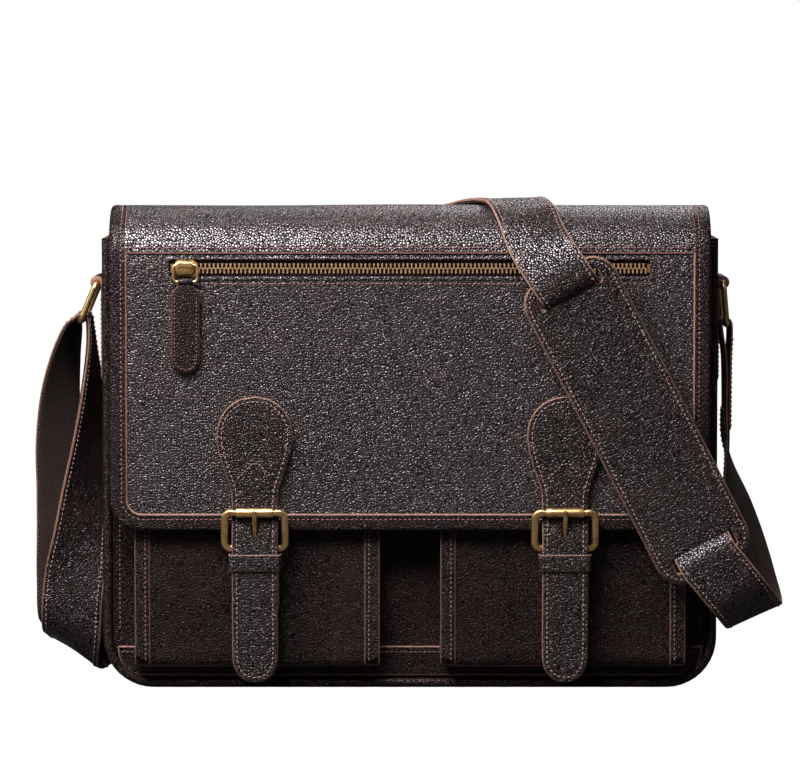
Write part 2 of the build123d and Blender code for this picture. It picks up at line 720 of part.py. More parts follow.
# Left: the strap passes the ring and comes back beside itself.
bar_x, bar_z = lower_bar(-1, ring_lean_left)
left_stations = [
    ((-213.5, 2, 19.5), (0.82, 0, -0.57)),
    ((-213, -9, 27), (0.9, 0, -0.42)),
    ((-213, -15.5, 42), (0.98, 0, -0.2)),
    ((-211.5, -17, 62), (1, 0, 0)),
    ((-208, -14, 90), (0.85, 0.53, 0)),
    ((-205.2, -9, 120), (0.7, 0.71, 0)),
    ((-201, -5, 150), (0.52, 0.85, 0)),
    ((-199.6, -2, 182), (0.3, 0.95, 0)),
    ((-200.4, 0, 208), (0.08, 1, 0)),
    ((bar_x + 4.4, 0, bar_z - 3), (0, 1, 0)),
    ((bar_x + 3.6, 0, bar_z + 2.4), (0, 1, 0)),
    ((bar_x, 0, bar_z + 4.1), (0, 1, 0)),
    ((bar_x - 3.9, 0, bar_z + 1.6), (0, 1, 0)),
    ((bar_x - 5.6, 0, bar_z - 4), (0, 1, 0)),
    ((-215.5, 0, 206), (0.15, 0.99, 0)),
    ((-219.5, 2, 180), (0.42, 0.91, 0)),
    ((-221, 3, 150), (0.62, 0.78, 0)),
    ((-219.5, 3, 120), (0.78, 0.63, 0)),
    ((-217.5, 1, 90), (0.9, 0.43, 0)),
    ((-216.5, -2, 62), (0.99, 0.1, 0)),
    ((-217, -2.5, 46), (0.97, 0, -0.25)),
    ((-216.5, 2.5, 33.5), (0.9, 0, -0.42)),
]
save(ribbon(left_stations, 2.6), "strap_left")

# Behind the bag: the leather layer runs from the fold near the floor up to the hinge line.
back_stations = [
    ((-207.5, 14, 17), (0.8, 0, -0.6)),
    ((-207, 30, 17), (0.79, 0, -0.61)),
    ((-200.5, 45.5, 20), (0.79, 0, -0.61)),
    ((-192.5, 52.5, 28), (0.78, 0, -0.63)),
    ((-180, 54.5, 42), (0.77, 0, -0.64)),
    ((-160, 54.5, 65), (0.76, 0, -0.65)),
    ((-110, 54, 123), (0.76, 0, -0.65)),
    ((-60, 49, 181), (0.76, 0, -0.65)),
    ((-20, 45.2, 228), (0.76, 0, -0.65)),
    ((6, 43.6, 257), (0.78, 0, -0.62)),
    ((16, 43.4, 268), (0.81, 0, -0.58)),
]
# trimmed above z = 274.5
save_trimmed(ribbon(back_stations, 3.0), "strap_back", (0, 45, 304.5), (cut_w, 60, 60))

# Webbing tail between the leather layer and the back of the bag.
webbing_stations = [
    ((-213.5, 15, 29), (0.82, 0, -0.57)),
    ((-212, 28, 28), (0.8, 0, -0.6)),
    ((-208.5, 38.5, 29), (0.79, 0, -0.61)),
    ((-201.5, 46, 32), (0.79, 0, -0.61)),
    ((-190, 48.8, 42), (0.78, 0, -0.63)),
    ((-174, 49.6, 58), (0.77, 0, -0.64)),
    ((-150, 49.6, 84), (0.76, 0, -0.65)),
    ((-104, 48.6, 137), (0.76, 0, -0.65)),
]
save(ribbon(webbing_stations, 1.8), "strap_webbing_tail")

# Slide adjuster on the doubled part of the strap: a plate with two slots.
adjuster_slot_offset = 5.6
with BuildPart() as strap_adjuster:
    with BuildSketch(Plane((-110, 56.4, 123), x_dir=(0.76, 0, -0.65), z_dir=(0, 1, 0))):
        RectangleRounded(47, 25, 3.5)
        with Locations((0, adjuster_slot_offset), (0, -adjuster_slot_offset)):
            RectangleRounded(39.5, 6.6, 1.2, mode=Mode.SUBTRACT)
    extrude(amount=2.4)
    fillet(strap_adjuster.faces().sort_by(Axis.Y)[-1].edges(), 0.7)
save(strap_adjuster, "strap_adjuster")
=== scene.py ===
"""A leather briefcase with a front flap, two buckled straps and a shoulder strap.

X runs to the right, Y to the back (the front faces -Y) and Z up from the floor.
Meshes are worked out in millimetres, and make_mesh turns them into metres.

Every leather sheet is drawn flat and then bent: a "to_space" function takes two
coordinates in the sheet and the height "out" from it, and returns x, y, z.
"""
import bpy
import bmesh
import math
import numpy as np
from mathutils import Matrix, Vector
from mathutils.geometry import delaunay_2d_cdt


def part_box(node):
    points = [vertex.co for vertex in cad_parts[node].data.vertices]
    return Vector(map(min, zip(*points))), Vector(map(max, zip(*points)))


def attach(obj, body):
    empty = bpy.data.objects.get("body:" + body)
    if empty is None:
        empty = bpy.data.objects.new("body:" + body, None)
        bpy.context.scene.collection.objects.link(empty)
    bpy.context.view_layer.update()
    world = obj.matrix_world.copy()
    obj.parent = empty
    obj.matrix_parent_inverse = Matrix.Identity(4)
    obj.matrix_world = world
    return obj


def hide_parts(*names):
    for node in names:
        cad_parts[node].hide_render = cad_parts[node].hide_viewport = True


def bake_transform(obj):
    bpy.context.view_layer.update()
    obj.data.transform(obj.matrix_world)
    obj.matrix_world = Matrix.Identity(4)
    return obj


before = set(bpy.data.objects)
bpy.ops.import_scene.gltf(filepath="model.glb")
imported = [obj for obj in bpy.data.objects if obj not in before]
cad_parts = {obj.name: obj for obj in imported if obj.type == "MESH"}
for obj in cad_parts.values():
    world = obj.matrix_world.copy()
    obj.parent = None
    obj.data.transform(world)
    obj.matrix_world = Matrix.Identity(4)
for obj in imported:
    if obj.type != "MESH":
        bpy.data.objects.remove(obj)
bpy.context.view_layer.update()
MM = 0.001
SIDES = ((-1, "left"), (1, "right"))
rng = np.random.default_rng(7)      # unevenness of the stitches


# ---------------------------------------------------------------- shader helpers
# Sockets of the Mix node by number, since its data types share socket names.
VECTOR_A, VECTOR_B, VECTOR_OUT = 4, 5, 1
COLOR_A, COLOR_B, COLOR_OUT = 6, 7, 2


def new_material(name):
    material = bpy.data.materials.new(name)
    material.use_nodes = True
    tree = material.node_tree
    return material, tree, tree.nodes["Principled BSDF"]


def set_inputs(tree, node, inputs):
    """Link the inputs that are given a socket, and set the others."""
    for key, value in inputs.items():
        if isinstance(value, bpy.types.NodeSocket):
            tree.links.new(value, node.inputs[key])
        else:
            node.inputs[key].default_value = value


def add_node(tree, kind, inputs=None, **settings):
    node = tree.nodes.new(kind)
    for key, value in settings.items():
        setattr(node, key, value)
    set_inputs(tree, node, inputs or {})
    return node


def ramp(tree, fac, stops):
    node = tree.nodes.new("ShaderNodeValToRGB")
    elements = node.color_ramp.elements
    while len(elements) < len(stops):
        elements.new(0.5)
    for element, (position, color) in zip(elements, stops):
        element.position = position
        element.color = (*color, 1)
    tree.links.new(fac, node.inputs[0])
    return node.outputs[0]


def grey(value):
    return (value,) * 3


def rest_position(tree):
    """The position stored on the mesh, which stays put when the piece moves."""
    return add_node(tree, "ShaderNodeAttribute", attribute_name="rest").outputs["Vector"]


def noise(tree, vector, scale, detail, roughness=0.5):
    return add_node(tree, "ShaderNodeTexNoise", {
        "Vector": vector, "Scale": scale, "Detail": detail, "Roughness": roughness})


def voronoi(tree, vector, feature, **inputs):
    return add_node(tree, "ShaderNodeTexVoronoi", {"Vector": vector, **inputs},
                    feature=feature).outputs["Distance"]


def multiply_add(tree, value, factor, offset):
    return add_node(tree, "ShaderNodeMath", {0: value, 1: factor, 2: offset},
                    operation="MULTIPLY_ADD").outputs[0]


def bump_normal(tree, height, strength, distance, **inputs):
    return add_node(tree, "ShaderNodeBump", {
        "Strength": strength, "Distance": distance, "Height": height, **inputs}).outputs["Normal"]


# ---------------------------------------------------------------- materials
def leather(name, dark, light, grain, bump, rough, spec):
    """Pebbled leather. grain sets the pebbles per metre; the grooves are matt, and their colour is
    darkened as painted shade between the pebbles.
    """
    material, tree, shader = new_material(name)
    rest = rest_position(tree)
    warp = noise(tree, rest, scale=260.0, detail=2.0)
    warped = add_node(tree, "ShaderNodeMix", {
        "Factor": 0.0014, VECTOR_A: rest, VECTOR_B: warp.outputs["Color"],
    }, data_type="VECTOR").outputs[VECTOR_OUT]
    border = voronoi(tree, warped, "DISTANCE_TO_EDGE", Scale=grain, Randomness=0.9)
    cluster = voronoi(tree, warped, "F1", Scale=grain * 0.42, Randomness=1.0)
    fine = noise(tree, rest, scale=grain * 2.2, detail=3.0, roughness=0.6).outputs["Fac"]
    patches = noise(tree, rest, scale=34.0, detail=3.0, roughness=0.55).outputs["Fac"]
    # 0 in the groove, 1 on the pebble; sockets 1 and 2 are the range mapped from.
    pebble = add_node(tree, "ShaderNodeMapRange", {0: border, 1: 0.0, 2: 0.21},
                      interpolation_type="SMOOTHSTEP").outputs[0]
    dome = voronoi(tree, warped, "SMOOTH_F1", Scale=grain, Smoothness=0.25, Randomness=0.9)
    height = multiply_add(tree, dome, factor=-1.0, offset=pebble)
    height = multiply_add(tree, cluster, factor=-0.25, offset=height)
    height = multiply_add(tree, fine, factor=0.20, offset=height)
    grained = bump_normal(tree, height, strength=bump, distance=0.00027)
    normal = bump_normal(tree, patches, strength=0.35, distance=0.0022, Normal=grained)
    color = ramp(tree, patches, [(0.3, dark), (0.72, light)])
    # Painted shade: the base colour is darkened in the grooves between the pebbles, where shade
    # falls.
    groove = ramp(tree, pebble, [(0.05, grey(0.18)), (0.75, grey(1))])
    shaded = add_node(tree, "ShaderNodeMix", {0: 0.95, COLOR_A: color, COLOR_B: groove},
                      data_type="RGBA", blend_type="MULTIPLY").outputs[COLOR_OUT]
    set_inputs(tree, shader, {
        "Normal": normal,
        "Base Color": shaded,
        "Roughness": ramp(tree, pebble, [(0.05, grey(rough + 0.3)), (0.6, grey(rough - 0.04))]),
        "Specular IOR Level": ramp(tree, pebble, [(0.05, grey(spec * 0.05)), (0.7, grey(spec))]),
    })
    return material


def plain(name, color, rough, grain, bump=0.3, spread=0.25, metal=0.0):
    """One mottled color; spread is how far it strays to either side."""
    material, tree, shader = new_material(name)
    mottle = noise(tree, rest_position(tree), scale=grain, detail=4.0, roughness=0.6)
    fac = mottle.outputs["Fac"]
    low = tuple(c * (1 - spread) for c in color)
    high = tuple(min(1, c * (1 + spread)) for c in color)
    set_inputs(tree, shader, {
        "Base Color": ramp(tree, fac, [(0.35, low), (0.65, high)]),
        "Normal": bump_normal(tree, fac, strength=bump, distance=0.0003),
        "Roughness": rough,
        "Metallic": metal,
        "Specular IOR Level": 0.4,
    })
    return material


def woven(name, dark, light, direction, scale, bump=0.8):
    """Cloth with ribs running in one direction and some fluff."""
    material, tree, shader = new_material(name)
    rest = rest_position(tree)
    ribs = add_node(tree, "ShaderNodeTexWave", {
        "Vector": rest, "Scale": scale, "Distortion": 0.6, "Detail": 2.0,
    }, wave_type="BANDS", bands_direction=direction).outputs["Fac"]
    fluff = noise(tree, rest, scale=1500.0, detail=2.0).outputs["Fac"]
    height = multiply_add(tree, fluff, factor=0.5, offset=ribs)
    set_inputs(tree, shader, {
        "Base Color": ramp(tree, height, [(0.3, dark), (1.1 / 1.2, light)]),
        "Normal": bump_normal(tree, height, strength=bump, distance=0.0005),
        "Roughness": 0.8,
        "Specular IOR Level": 0.25,
    })
    return material


def brass(name, local):
    """Tarnished brass, patterned by the stored rest position or by object space."""
    material, tree, shader = new_material(name)
    if local:
        coords = rest_position(tree)
    else:
        coords = add_node(tree, "ShaderNodeTexCoord").outputs["Object"]
    tarnish = noise(tree, coords, scale=170.0, detail=6.0, roughness=0.65).outputs["Fac"]
    tones = [(0.3, (0.22, 0.12, 0.045)), (0.5, (0.52, 0.34, 0.14)), (0.75, (0.78, 0.56, 0.27))]
    color = ramp(tree, tarnish, tones)
    rough = ramp(tree, tarnish, [(0.3, grey(0.5)), (0.7, grey(0.27))])
    fine = noise(tree, coords, scale=1800.0, detail=2.0).outputs["Fac"]
    set_inputs(tree, shader, {
        "Base Color": color,
        "Roughness": rough,
        "Normal": bump_normal(tree, fine, strength=0.12, distance=0.0002),
        "Metallic": 1.0,
    })
    return material


# Dark and light tone of the two hides.
FLAP_HIDE = dict(dark=(0.0066, 0.0030, 0.0030), light=(0.0145, 0.0064, 0.0062))
RED_HIDE = dict(dark=(0.0056, 0.0021, 0.0017), light=(0.0118, 0.0044, 0.0036))
FLAP_LEATHER = leather("flap_leather", **FLAP_HIDE, grain=600, bump=0.9, rough=0.40, spec=1.0)
BODY_LEATHER = leather("body_leather", **RED_HIDE, grain=640, bump=0.8, rough=0.42, spec=0.22)
STRAP_LEATHER = leather("strap_leather", **RED_HIDE, grain=600, bump=0.9, rough=0.38, spec=0.65)
TRIM_LEATHER = leather("trim_leather", **RED_HIDE, grain=660, bump=0.8, rough=0.40, spec=0.32)
EDGE = plain("raw_edge", (0.115, 0.062, 0.041), rough=0.7, grain=700, spread=0.35)
EDGE_BROWN = plain("raw_edge_brown", (0.10, 0.046, 0.030), rough=0.65, grain=700, spread=0.35)
EDGE_DARK = plain("raw_edge_dark", (0.050, 0.021, 0.015), rough=0.65, grain=700, spread=0.35)
THREAD = plain("thread", (0.155, 0.098, 0.088), rough=0.75, grain=1500)
THREAD_DARK = plain("thread_dark", (0.10, 0.05, 0.045), rough=0.7, grain=1500, spread=0.3)
BRASS = brass("antique_brass", local=False)
BRASS_LOCAL = brass("antique_brass_local", local=True)
# Brighter, less metallic brass for the zip teeth: painted light that makes up for the shade they sit
# in, recessed in the zip window.
TOOTH_BRASS_PAINTED_LIGHT = plain("tooth_brass_painted_light", (0.42, 0.28, 0.145), rough=0.32, grain=900, bump=0.1, metal=0.7)
WEBBING = woven("webbing", dark=(0.006, 0.0035, 0.003), light=(0.028, 0.017, 0.014),
                direction="DIAGONAL", scale=260)
LINING = woven("lining_cloth", dark=(0.018, 0.012, 0.009), light=(0.045, 0.030, 0.022),
               direction="DIAGONAL", scale=420, bump=0.4)
ZIP_TAPE = woven("zip_tape", dark=(0.007, 0.0045, 0.004), light=(0.022, 0.014, 0.011),
                 direction="X", scale=300)
PADDED_CLOTH = plain("padded_cloth", (0.030, 0.021, 0.017), rough=0.85, grain=900)
BOARD = plain("stiff_board", (0.022, 0.018, 0.016), rough=0.7, grain=300)

# Material sets: face, cut edge and, where it differs from the face, back.
BODY_SKIN = [BODY_LEATHER, EDGE_DARK]
TRIM_DARK = [TRIM_LEATHER, EDGE_DARK]
TRIM_RAW = [TRIM_LEATHER, EDGE]
STRAP_SKIN = [STRAP_LEATHER, EDGE]
STRAP_PLY = [STRAP_LEATHER, EDGE, STRAP_LEATHER]
WEB_PLY = [WEBBING] * 3


# ---------------------------------------------------------------- outlines in the plane
def seg(start, end, step=6.0):
    """Points along a straight line, without its end."""
    start, end = np.asarray(start, float), np.asarray(end, float)
    count = max(1, int(np.ceil(np.linalg.norm(end - start) / step)))
    return [start + (end - start) * i / count for i in range(count)]


def arc(x, y, radius, angles):
    return [np.array((x + radius * math.cos(math.radians(a)), y + radius * math.sin(math.radians(a))))
            for a in angles]


def rrect(x0, x1, y0, y1, radii, step=6.0, count=7):
    """Rounded rectangle. radii is one radius or those of x0y0, x1y0, x1y1 and x0y1."""
    r = (radii,) * 4 if np.isscalar(radii) else radii
    corners = [(x0 + r[0], y0 + r[0], r[0], 180), (x1 - r[1], y0 + r[1], r[1], 270),
               (x1 - r[2], y1 - r[2], r[2], 0), (x0 + r[3], y1 - r[3], r[3], 90)]
    out = []
    for k, (x, y, radius, first) in enumerate(corners):
        out += arc(x, y, radius, [first + 90 * i / count for i in range(count + 1)])
        x, y, radius, first = corners[(k + 1) % 4]
        out += seg(out[-1], arc(x, y, radius, [first])[0], step)[1:]
    return np.array(out)


def u_path(half_width, floor, radius, rim, step=4.0, arc_points=11):
    """From the left rim down, along the floor and up to the right rim."""
    path = seg((-half_width, rim), (-half_width, floor + radius), step)
    path += arc(-half_width + radius, floor + radius, radius, np.linspace(180, 270, arc_points))
    path += seg((-half_width + radius, floor), (half_width - radius, floor), step)[1:]
    path += arc(half_width - radius, floor + radius, radius, np.linspace(270, 360, arc_points))
    path += seg((half_width, floor + radius), (half_width, rim), step)[1:]
    return np.array(path + [np.array((half_width, rim))])


def ccw(points):
    points = np.asarray(points, float)
    x, y = points[:, 0], points[:, 1]
    area = 0.5 * np.sum(x * np.roll(y, -1) - np.roll(x, -1) * y)
    return points if area > 0 else points[::-1]


def inset(points, depth):
    """Move a counterclockwise outline inwards."""
    edge = np.roll(points, -1, 0) - points
    edge /= np.linalg.norm(edge, axis=1)[:, None] + 1e-12
    normal = np.stack((-edge[:, 1], edge[:, 0]), 1)
    corner = normal + np.roll(normal, 1, 0)
    corner /= np.linalg.norm(corner, axis=1)[:, None] + 1e-12
    slant = np.clip(np.sum(corner * normal, 1), 0.5, 1)
    return points + corner * (depth / slant)[:, None]


def open_at_gap(points):
    """Start a closed run of points just after its widest gap."""
    gap = np.argmax(np.linalg.norm(np.roll(points, -1, 0) - points, axis=1))
    return np.roll(points, -(gap + 1), 0)


def inside(points, polygon):
    x, y = points[:, 0][:, None], points[:, 1][:, None]
    x0, y0 = polygon[:, 0][None], polygon[:, 1][None]
    x1, y1 = np.roll(polygon[:, 0], -1)[None], np.roll(polygon[:, 1], -1)[None]
    with np.errstate(divide="ignore", invalid="ignore"):
        crossed = ((y0 > y) != (y1 > y)) & (x < (x1 - x0) * (y - y0) / (y1 - y0) + x0)
    return np.sum(crossed, 1) % 2 == 1


def distance(points, polygon):
    """Distance of each point to the polygon's nearest side."""
    sides = np.roll(polygon, -1, 0) - polygon
    best = np.full(len(points), 1e9)
    for corner, side in zip(polygon, sides):
        offset = points - corner
        t = np.clip(offset @ side / (side @ side + 1e-12), 0, 1)
        np.minimum(best, np.linalg.norm(offset - t[:, None] * side, axis=1), out=best)
    return best


def fill(loops, grid):
    """Triangles between the outer loop and the holes, with a grid of points inside."""
    outer = loops[0]
    low, high = outer.min(0), outer.max(0)
    x, y = np.meshgrid(np.arange(low[0] + grid * 0.5, high[0], grid),
                       np.arange(low[1] + grid * 0.5, high[1], grid))
    x[1::2] += grid * 0.5
    points = np.stack((x.ravel(), y.ravel()), 1)
    if len(points):
        points = points[inside(points, outer)]
        for loop in loops[1:]:
            points = points[~inside(points, loop)]
        for loop in loops:
            if len(points):
                points = points[distance(points, loop) > grid * 0.45]
    every = np.concatenate([*loops, points]) if len(points) else np.concatenate(loops)
    edges, base = [], 0
    for loop in loops:
        size = len(loop)
        edges += [(base + i, base + (i + 1) % size) for i in range(size)]
        base += size
    verts, _, faces, origins, _, _ = delaunay_2d_cdt(
        [Vector(p) for p in every], edges, [], 1, 1e-5)
    source = [origin[0] if origin else -1 for origin in origins]
    centres = np.array([[sum(verts[i][k] for i in f) / len(f) for k in (0, 1)] for f in faces])
    kept = inside(centres, outer)
    for loop in loops[1:]:
        kept &= ~inside(centres, loop)
    triangles = [[source[i] for i in face] for face, keep in zip(faces, kept)
                 if keep and all(source[i] >= 0 for i in face)]
    return points, triangles


# ---------------------------------------------------------------- paths
def unit(vectors):
    return vectors / np.linalg.norm(vectors, axis=1)[:, None]


def run_lengths(points):
    """Distance along a path at each of its points."""
    return np.concatenate(([0], np.cumsum(np.linalg.norm(np.diff(points, axis=0), axis=1))))


def even(outline, count):
    """A closed outline as evenly spaced points."""
    closed = np.vstack((outline, outline[:1]))
    lengths = run_lengths(closed)
    spots = np.linspace(0, lengths[-1], count, endpoint=False)
    return np.column_stack([np.interp(spots, lengths, closed[:, k]) for k in (0, 1)])


def spline(points, per):
    """Catmull-Rom curve through the rows, with per steps between two rows."""
    p = np.asarray(points, float)
    q = np.vstack((2 * p[0] - p[1], p, 2 * p[-1] - p[-2]))
    out = []
    for i in range(1, len(q) - 2):
        for k in range(per):
            t = k / per
            out.append(0.5 * (2 * q[i] + (q[i + 1] - q[i - 1]) * t
                              + (2 * q[i - 1] - 5 * q[i] + 4 * q[i + 1] - q[i + 2]) * t * t
                              + (3 * q[i] - q[i - 1] - 3 * q[i + 1] + q[i + 2]) * t ** 3))
    out.append(q[-2])
    return np.array(out)


class WallPath:
    """A sheet that follows a path in x and z and is as wide as the bag is deep."""

    def __init__(self, path, ripple):
        self.path, self.ripple = path, ripple
        tangent = unit(np.gradient(path, axis=0))
        self.normal = np.column_stack((tangent[:, 1], -tangent[:, 0]))
        self.lengths = run_lengths(path)
        self.length = self.lengths[-1]

    def to_space(self, y, run, out):
        x, z, normal_x, normal_z = [np.interp(run, self.lengths, column)
                                    for column in (*self.path.T, *self.normal.T)]
        size = np.hypot(normal_x, normal_z)
        out = out + self.ripple * waves(y, run, 0.6, (19.0, 33.0))
        return np.column_stack((x + out * normal_x / size, y, z + out * normal_z / size))


class StrapLine:
    """The path of a strap, from rows of x, y, z and the direction of its width."""

    def __init__(self, stations, per):
        rows = spline(stations, per)
        self.points, widths = rows[:, :3], rows[:, 3:]
        tangent = unit(np.gradient(self.points, axis=0))
        self.widths = unit(widths - tangent * np.sum(widths * tangent, 1)[:, None])
        self.normals = np.cross(tangent, self.widths)
        self.lengths = run_lengths(self.points)
        self.length = self.lengths[-1]

    def to_space(self, across, run, out):
        points, widths, normals = [
            np.stack([np.interp(run, self.lengths, rows[:, k]) for k in range(3)], -1)
            for rows in (self.points, self.widths, self.normals)]
        across, out = np.asarray(across, float), np.asarray(out, float)
        return points + widths * across[..., None] + normals * out[..., None]

    def run_at(self, point):
        nearest = np.argmin(np.linalg.norm(self.points - np.asarray(point, float), axis=1))
        return self.lengths[nearest]


def waves(across, run, size, lengths):
    """Slow unevenness of a sheet."""
    swell = np.sin(across / lengths[0] + 1.3) * np.sin(run / lengths[1] + 0.4)
    return size * (swell + 0.45 * np.sin(across / 23.0 + run / 31.0))


def on_front(depth):
    """An upright sheet facing -Y, in front of the middle by depth."""
    return lambda x, z, out: np.column_stack((x, -(depth + out), z))


def raised(to_space, lift):
    return lambda across, run, out: to_space(across, run, out + lift)


# ---------------------------------------------------------------- meshes
def mount(obj, body, *replaced, slot="dark_leather"):
    if replaced:
        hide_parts(*replaced)
    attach(obj, body)


def make_mesh(name, verts, faces, mats, face_mats=None, sharp=0.7):
    mesh = bpy.data.meshes.new(name)
    verts = np.asarray(verts, float) * MM
    mesh.from_pydata(verts.tolist(), [], [tuple(int(i) for i in face) for face in faces])
    for mat in mats:
        mesh.materials.append(mat)
    if face_mats is None:
        face_mats = [0] * len(faces)
    mesh.polygons.foreach_set("material_index", np.asarray(face_mats, int))
    mesh.polygons.foreach_set("use_smooth", np.ones(len(faces), bool))
    bm = bmesh.new()
    bm.from_mesh(mesh)
    bmesh.ops.recalc_face_normals(bm, faces=bm.faces)
    bm.to_mesh(mesh)
    bm.free()
    rest = mesh.attributes.new("rest", "FLOAT_VECTOR", "POINT")
    coords = np.empty(len(mesh.vertices) * 3)
    mesh.vertices.foreach_get("co", coords)
    rest.data.foreach_set("vector", coords)
    if sharp:
        mesh.set_sharp_from_angle(angle=sharp)
    obj = bpy.data.objects.new(name, mesh)
    bpy.context.scene.collection.objects.link(obj)
    return obj


def ring_faces(rings, sides, wrap=False):
    """Quads between rings of vertices; wrap joins the last ring to the first."""
    faces = []
    for i in range(rings if wrap else rings - 1):
        here, there = i * sides, (i + 1) % rings * sides
        for j in range(sides):
            k = (j + 1) % sides
            faces.append((here + j, here + k, there + k, there + j))
    return faces


def end_caps(rings, sides):
    return [list(range(sides))[::-1], list(range((rings - 1) * sides, rings * sides))]


def loft(name, loops, mats, band_mats=None, cap_end=False):
    """Join loops of vertices; band_mats gives the material between each two."""
    sides = len(loops[0])
    faces = ring_faces(len(loops), sides)
    face_mats = None if band_mats is None else np.repeat(band_mats, sides)
    if cap_end:
        faces.append(end_caps(len(loops), sides)[1])
    return make_mesh(name, np.concatenate(loops), faces, mats, face_mats)


def slab(name, outline, to_space, thickness, mats, *, bevel, grid, holes=(), groove=None,
         crown=0.0, hole_mat=1):
    """A leather plate with a flat outline. Material 0 is the face, 1 the cut edge and
    2, if given, the back. groove is the inset of a pressed line, crown a swelling."""
    loops = [ccw(outline)] + [ccw(hole)[::-1] for hole in holes]
    # Cross section of the rim: inset, height.
    profile = [(bevel + 0.5, 0.0), (0.35, 0.06 * thickness), (0.0, 0.22 * thickness),
               (0.0, 0.62 * thickness), (bevel, 0.97 * thickness), (bevel + 0.5, thickness)]
    hole_profile = profile[:]
    if groove:
        profile += [(groove - 0.9, thickness), (groove, thickness - 0.3),
                    (groove + 0.9, thickness)]
    back = 2 if len(mats) > 2 else 0
    verts, faces, face_mats, count = [], [], [], 0
    bottoms, tops = [], []
    for number, loop in enumerate(loops):
        size = len(loop)
        steps = hole_profile if number else profile
        cut = hole_mat if number else 1
        rings = [inset(loop, depth) for depth, _ in steps]
        verts += [np.column_stack((ring, np.full(size, height)))
                  for ring, (_, height) in zip(rings, steps)]
        faces += [tuple(count + i for i in face) for face in ring_faces(len(steps), size)]
        step_mats = [back, cut, cut, cut] + [0] * (len(steps) - 5)
        face_mats += list(np.repeat(step_mats, size))
        ids = count + np.arange(len(steps) * size).reshape(-1, size)
        count += ids.size
        bottoms.append((rings[0], ids[0]))
        tops.append((rings[-1], ids[-1]))
    for part, height, mat in ((tops, thickness, 0), (bottoms, 0.0, back)):
        points, triangles = fill([ring for ring, _ in part], grid)
        new_ids = np.arange(count, count + len(points))
        lookup = np.concatenate([ids for _, ids in part] + [new_ids]).astype(int)
        if len(points):
            verts.append(np.column_stack((points, np.full(len(points), height))))
            count += len(points)
        faces += [[lookup[i] for i in triangle] for triangle in triangles]
        face_mats += [mat] * len(triangles)
    flat = np.concatenate(verts)
    if crown:
        depth = distance(flat[:, :2], loops[0])
        swell = crown * np.clip(depth / 14.0, 0, 1) ** 0.6
        flat[:, 2] += np.where(flat[:, 2] > 0.5 * thickness, swell, 0)
    return make_mesh(name, to_space(*flat.T), faces, mats, face_mats)


def tube(name, path, radius, mat, sides, ripple=0.0):
    """A round cord along a path that keeps one y."""
    tangent = unit(np.gradient(path, axis=0))
    first = unit(np.cross(tangent, (0, 1.0, 0)))
    second = np.cross(tangent, first)
    angles = np.linspace(0, 2 * np.pi, sides, endpoint=False)
    steps = np.arange(len(path))
    radii = radius * (1 + ripple * np.sin(steps * 1.7) * np.sin(steps * 0.31))
    rings = path[:, None] + radii[:, None, None] * (
        first[:, None] * np.cos(angles)[None, :, None]
        + second[:, None] * np.sin(angles)[None, :, None])
    faces = ring_faces(len(path), sides) + end_caps(len(path), sides)
    return make_mesh(name, rings.reshape(-1, 3), faces, [mat])


def sleeve(name, centre, inner, outer, start, end, axis, mats):
    """A short sleeve with rounded ends along x (axis 0) or y (axis 1)."""
    profile = [(inner, start), (outer - 0.6, start), (outer - 0.15, start + 0.25),
               (outer, start + 0.7), (outer, (start + end) / 2), (outer, end - 0.7),
               (outer - 0.15, end - 0.25), (outer - 0.6, end), (inner, end)]
    angles = np.linspace(0, 2 * np.pi, 20, endpoint=False)
    loops = []
    for radius, place in profile:
        columns = [centre[0] + radius * np.cos(angles), centre[1] + radius * np.sin(angles)]
        columns.insert(axis, np.full(20, place))
        loops.append(np.column_stack(columns))
    return loft(name, loops + loops[:1], mats, [1, 1, 0, 0, 0, 0, 0, 1, 1])


def strap(name, line, start, end, half_width, bottom, top, mats, bevel, cup=0.0, step=3.0):
    """One ply of strap. mats: face, edge, back. cup lifts its middle."""
    half = [-half_width, -half_width, -half_width + bevel, -half_width + bevel + 0.5,
            -half_width * 0.75, -half_width * 0.5, -half_width * 0.25]
    thickness = top - bottom
    rise = [bottom + 0.2 * thickness, bottom + 0.65 * thickness, top - 0.04 * thickness]
    under = [half_width - 0.4, half_width * 0.75, half_width * 0.5]
    across = np.array(half + [0] + [-x for x in half[::-1]]
                      + under + [0] + [-x for x in under[::-1]])
    out = np.array(rise + [top] * 9 + rise[::-1] + [bottom] * 7)
    out = out + cup * (1 - (across / half_width) ** 2)
    side_mats = [1] * 2 + [0] * 10 + [1] * 3 + [2] * 6 + [1]
    count = max(2, int((end - start) / step))
    size = len(across)
    verts = [line.to_space(across, np.full(size, run), out)
             for run in np.linspace(start, end, count + 1)]
    caps = [[base + j for j in range(size)] for base in (0, count * size)]
    return make_mesh(name, np.concatenate(verts), ring_faces(count + 1, size) + caps, mats,
                     side_mats * count + [1, 1])


